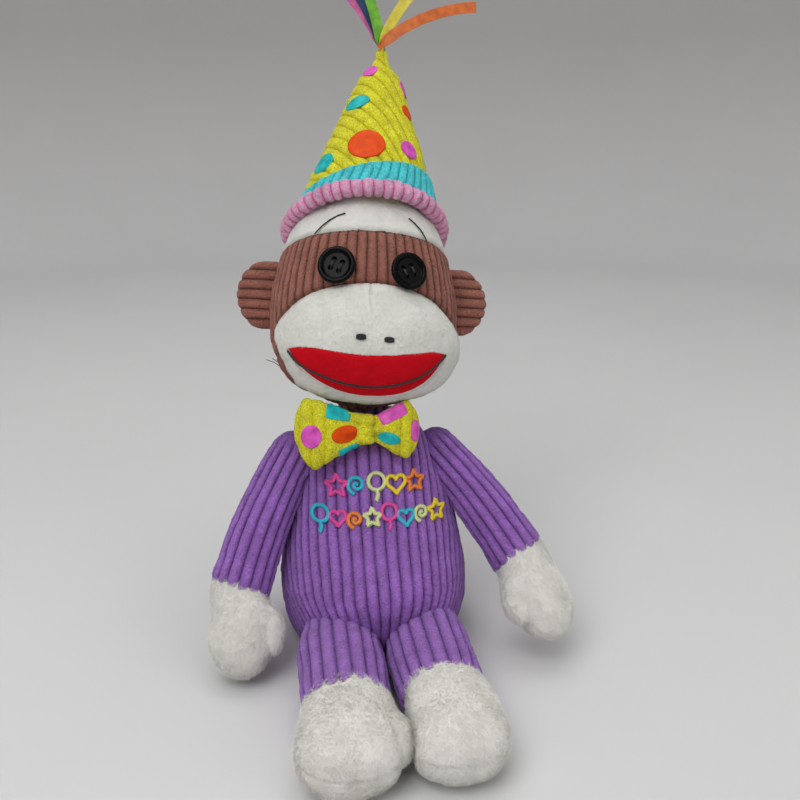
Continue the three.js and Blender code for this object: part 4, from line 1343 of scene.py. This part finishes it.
def build_ribbon(colour):
    lean, curl, root = RIBBONS[colour]
    rows, cols = 120, 22
    s = np.linspace(-2.5, 60, rows)
    slant = np.radians(lean + curl * (np.clip(s, 0, 60) / 60) ** 0.75)
    step = np.gradient(s)
    x = np.cumsum(np.sin(slant) * step)
    z = np.cumsum(np.cos(slant) * step)
    start = np.interp(0, s, np.arange(rows))
    x -= np.interp(start, np.arange(rows), x)
    z -= np.interp(start, np.arange(rows), z)
    grip = 1 - 0.45 * smooth(6, -2, s)  # folded together where it is sewn in
    y = 0.9 * np.sin(s / 60 * 5 + lean) * smooth(4, 40, s)
    across = np.linspace(-3, 3, cols)
    twist = 0.16 * np.sin(s / 60 * 3.2 + lean / 20)
    face = []
    for side in (-1, 1):
        dish = 0.10 * (1 - (across / 3) ** 2)
        px = x[:, None] + (across * np.cos(twist)[:, None] * grip[:, None]) * np.cos(slant)[:, None]
        pz = z[:, None] - (across * np.cos(twist)[:, None] * grip[:, None]) * np.sin(slant)[:, None]
        py = y[:, None] + across * np.sin(twist)[:, None] + side * 0.17 + dish
        face.append(np.stack([px, py, pz], -1))
    ring = np.concatenate([face[0], face[1][:, ::-1]], 1) + np.array(root)
    rib = with_ends(np.tile(np.concatenate([across, across[::-1]]) / 3, (rows, 1)), 0)
    return mesh(f"{colour}_satin_ribbon", *closed(ring), SATINS[colour], rib)


for colour, (_, _, root) in RIBBONS.items():
    ribbon = build_ribbon(colour)
    body = f"{colour}_ribbon"
    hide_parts(body)
    foot = np.array(root) * MM
    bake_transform(ribbon)

# ---- Bow tie -----------------------------------------------------------------------------------------


def bow_loop(side, sign):
    """One loop of the tie: a pillow that flares from the knot, pleated where it is pinched."""
    rows, cols = 120, 300
    t = np.linspace(0.0, 1, rows)[:, None]  # knot to outer edge
    a = circle(cols)[None, :]
    half = np.interp(t, [0, 0.15, 0.35, 0.6, 0.8, 0.92, 1], [7.0, 8.6, 12.4, 16.4, 18.4, 18.2, 17.0])
    end = np.sqrt(np.clip(1 - np.clip((t - 0.80) / 0.2, 0, 1) ** 2.2, 0, 1))
    half = half * np.where(t > 0.8, end ** 0.42, 1)
    droop = np.where(np.sin(a) < 0, 1.10 if sign < 0 else 0.94, 1.0 if sign < 0 else 0.96)
    thick = np.interp(t, [0, 0.12, 0.4, 0.75, 1], [4.2, 4.6, 6.4, 6.6, 5.2]) * np.where(t > 0.8, end ** 0.8, 1)
    ca, sa = np.cos(a), np.sin(a)
    reach = 34.5 if sign < 0 else 27.0
    x = sign * (2.0 + reach * t * (1 - 0.10 * np.abs(sa) ** 3 * t)) * np.ones_like(a)
    x = x + (0.16 * half * -sa * t if sign < 0 else 0)
    z = half * squashed(sa, 0.85) * droop * (0.98 if sign < 0 else 0.86) - (2.4 if sign < 0 else 0.4) * t ** 1.5
    y = -thick * squashed(ca, 0.7) + 3.0 * t * t
    p = np.stack([x, y * np.ones_like(x), z], -1)
    n = grid_normals(p)
    pleat = np.cos(np.arctan2(z, np.abs(x) + 6) * 9) * (1 - smooth(0.10, 0.55, t)) * 1.1
    h = wale((p[..., 0] + 0.5 * noise(p, 8, 31)) / 6.6 + 0.2)
    swell = 0.8 * noise(p, 11, 32 + sign) * smooth(0.1, 0.5, t)
    lift = 0.8 * (h - 0.7) * smooth(0.25, 0.6, t) + pleat + swell + 0.12 * noise(p, 1.5, 33)
    q = p + n * lift[..., None]
    base = p + n * (pleat + swell + 0.25)[..., None]
    rib = with_ends(1 - (1 - h) * 0.75 * smooth(0.25, 0.6, t))
    loop = brushed(f"bow_{side}_loop", closed(out("bow", q)), YELLOW, rib, 7000, 108, 0.45)
    return loop, surface_of(*capped(out("bow", base)))


BOW_FOILS = {
    "right": [
        ("pink", -28.0, -3.8, 10.5, 12.0, 0, False), ("teal", -14.2, 8.8, 13, 7.5, -8, True),
        ("orange", -10.8, -2.4, 14, 9.0, 14, False), ("teal", -8.4, -10.6, 11, 3.6, 22, True),
    ],
    "left": [
        ("pink", 14.2, 8.4, 15.0, 6.6, 26, True), ("teal", 12.4, -4.4, 12, 6, -14, False),
        ("pink", 26.4, -0.6, 5.0, 11.5, 0, False),
    ],
}
bow_items = []
for side, sign in (("right", -1), ("left", 1)):
    loop, tree = bow_loop(side, sign)
    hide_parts(f"bow_tie_{side}_loop")
    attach(loop, "torso")
    for colour, x, z, width, height, turn, square in BOW_FOILS[side]:
        across, back, up = FRAMES["bow"][0]
        film = decal(tree, out("bow", [x, -8, z]), across, up, back, width, height, turn, 0.2, square)
        bow_items.append((colour, film))
decals("bow_foils", "torso", bow_items)


def build_knot():
    rows, cols = 90, 160
    t = np.linspace(-1, 1, rows)[:, None]
    a = circle(cols)[None, :]
    end = np.sqrt(np.clip(1 - np.abs(t) ** 5, 0, 1)) + 0.01
    x = 4.7 * squashed(np.sin(a), 0.8) * end * (1 + 0.10 * t ** 2)
    y = -8.2 * squashed(np.cos(a), 0.8) * end ** 0.8
    z = 8.6 * t * np.ones_like(a)
    p = np.stack([x, y, z], -1)
    n = grid_normals(p)
    h = wale((p[..., 2] + 1.0 * noise(p, 6, 34)) / 5.6 + 0.5, 2.0)
    q = p + n * (1.0 * (h - 0.6) + 0.5 * noise(p, 5, 35) + 0.12 * noise(p, 1.5, 36))[..., None]
    return mesh("bow_knot", *closed(out("bow", q)), YELLOW, with_ends(0.4 + 0.6 * h))


knot = build_knot()
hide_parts("bow_tie_knot")
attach(knot, "torso")

# ---- Embroidery on the chest -------------------------------------------------------------------------


def satin_stitch(points, width=1.9, lift=0.35):
    """Closely laid threads across a stroke: the stroke's points are x and z in the torso's frame."""
    direction = FRAMES["torso"][0][1]
    path = np.asarray(points, float)
    length = np.concatenate([[0], np.cumsum(np.linalg.norm(np.diff(path, axis=0), axis=1))])
    s = np.arange(0, length[-1] + 0.01, 0.42)
    mid = np.stack([np.interp(s, length, path[:, k]) for k in range(2)], -1)
    along = unit(np.gradient(mid, axis=0))
    across = np.stack([-along[:, 1], along[:, 0]], -1)
    parts = []
    for m, c, g in zip(mid, across, along):
        ends = np.linspace(-1, 1, 5)[:, None]
        flat = m + (c + 0.30 * g) * ends * width / 2
        where = out("torso", np.stack([flat[:, 0], np.full(5, -60.0), flat[:, 1]], -1))
        hit = cast(TORSO_SURFACE, where, direction, lift)
        arch = (0.55 * (1 - ends ** 2) - 0.35 * np.abs(ends) ** 6) * -direction
        parts.append(tube(hit + arch, 0.27, 5))
    return parts


def arc(cx, cz, r, a):
    return np.stack([cx + r * np.cos(a), cz + r * np.sin(a)], -1)


def star(cx, cz, r):
    corner = np.arange(11)
    return arc(cx, cz, np.where(corner % 2 == 0, r, r * 0.45), np.radians(90 + corner * 36))


def spiral(cx, cz, r):
    a = np.linspace(0, 3.4 * np.pi, 50)
    return arc(cx, cz, r * (a / a[-1]), a)


def balloon(cx, cz, r):
    bag = arc(cx, cz + r * 0.4, r * 0.75, np.radians(np.linspace(-90, 270, 30)))
    return np.vstack([bag, [[cx + 0.5, cz - r * 0.8], [cx - 0.6, cz - r * 1.25]]])


def heart(cx, cz, r):
    a = np.linspace(-np.pi, np.pi, 44)
    lobes = 13 * np.cos(a) - 5 * np.cos(2 * a) - 2 * np.cos(3 * a) - np.cos(4 * a)
    return np.stack([cx + r * 0.06 * 16 * np.sin(a) ** 3, cz + r * 0.06 * lobes], -1)


def build_embroidery():
    """Two rows of motifs, each row (height, first x, spacing, its motifs as thread colour, form and size)."""
    rows = [
        (88.0, -20.5, 10.4, [
            ("magenta", star, 6.2), ("cyan", spiral, 5.0), ("pale", balloon, 5.8), ("yellow", heart, 5.4),
            ("orange", star, 5.8),
        ]),
        (71.4, -29.6, 8.9, [
            ("cyan", balloon, 5.6), ("magenta", heart, 4.4), ("orange", spiral, 4.3), ("pale", star, 5.0),
            ("magenta", balloon, 5.4), ("cyan", heart, 4.6), ("pale", spiral, 4.3), ("yellow", star, 5.6),
        ]),
    ]
    shapes = {colour: [] for colour in THREADS}
    for z, x0, gap, motifs in rows:
        for i, (colour, form, size) in enumerate(motifs):
            shapes[colour] += satin_stitch(form(x0 + gap * i, z + 0.6 * math.sin(i * 2.2), size))
    for colour, parts in shapes.items():
        motif = mesh(f"embroidery_{colour}", *gathered(parts), THREADS[colour])
        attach(motif, "torso")


build_embroidery()

# ---- Stage and light ---------------------------------------------------------------------------------


def stage_material(name, floor, wall):
    """Matt white floor that turns to a greyer tone up the backdrop."""
    material, tree, bsdf = shader(name, 0.65, Specular_IOR_Level=0.25)
    split = add(tree, "ShaderNodeSeparateXYZ")
    tree.links.new(add(tree, "ShaderNodeTexCoord").outputs["Object"], split.inputs[0])
    height = ranged(tree, split.outputs["Z"], 0.02, 0.45, "From")
    shade = ramp(tree, height, (0.0, linear(floor)), (1.0, linear(wall)))
    patch = ramp(tree, textured(tree, 5.0), (0.3, grey(0.97)), (0.7, grey(1.0)))
    tree.links.new(multiplied(tree, shade, patch), bsdf.inputs["Base Color"])
    return material


def build_stage():
    """A pale round floor that curves up into a plain backdrop on every side."""
    profile = [(0.02, 0.0), (0.3, 0.0), (0.8, 0.0), (1.3, 0.0)]
    profile += [(1.3 + 0.6 * math.sin(t), 0.6 - 0.6 * math.cos(t)) for t in np.linspace(0.05, math.pi / 2, 24)]
    profile += [(1.9, 2.6)]
    a = circle(96)
    p = np.array([[(r * math.cos(b), r * math.sin(b), z) for b in a] for r, z in profile]) * 1000
    verts, faces = capped(p)
    faces = [faces[0][:, ::-1], faces[1][:96, ::-1]]
    floor = mesh("floor", verts[:-1], faces, stage_material("stage_white", (214, 214, 214), (188, 186, 185)))


build_stage()


def lamp(name, location, target, size, energy):
    data = bpy.data.lights.new(name, "AREA")
    data.shape = "RECTANGLE"
    data.size, data.size_y = size
    data.energy = energy
    obj = bpy.data.objects.new(name, data)
    obj.location = location
    obj.rotation_euler = (Vector(target) - Vector(location)).to_track_quat("-Z", "Y").to_euler()
    scene.collection.objects.link(obj)


lamp("key", (-0.55, -0.75, 1.15), (0, 0, 0.15), (0.9, 0.9), 9.5)
lamp("fill", (0.95, -0.85, 0.75), (0, 0, 0.15), (1.1, 1.1), 3.2)
lamp("top", (0.0, 0.35, 1.5), (0, 0, 0.1), (1.3, 1.1), 5.0)

world = bpy.data.worlds.new("world")
world.use_nodes = True
sky = world.node_tree.nodes["Background"]
sky.inputs["Color"].default_value = grey(0.90)
sky.inputs["Strength"].default_value = 0.8
scene.world = world
scene.view_settings.view_transform = "Standard"
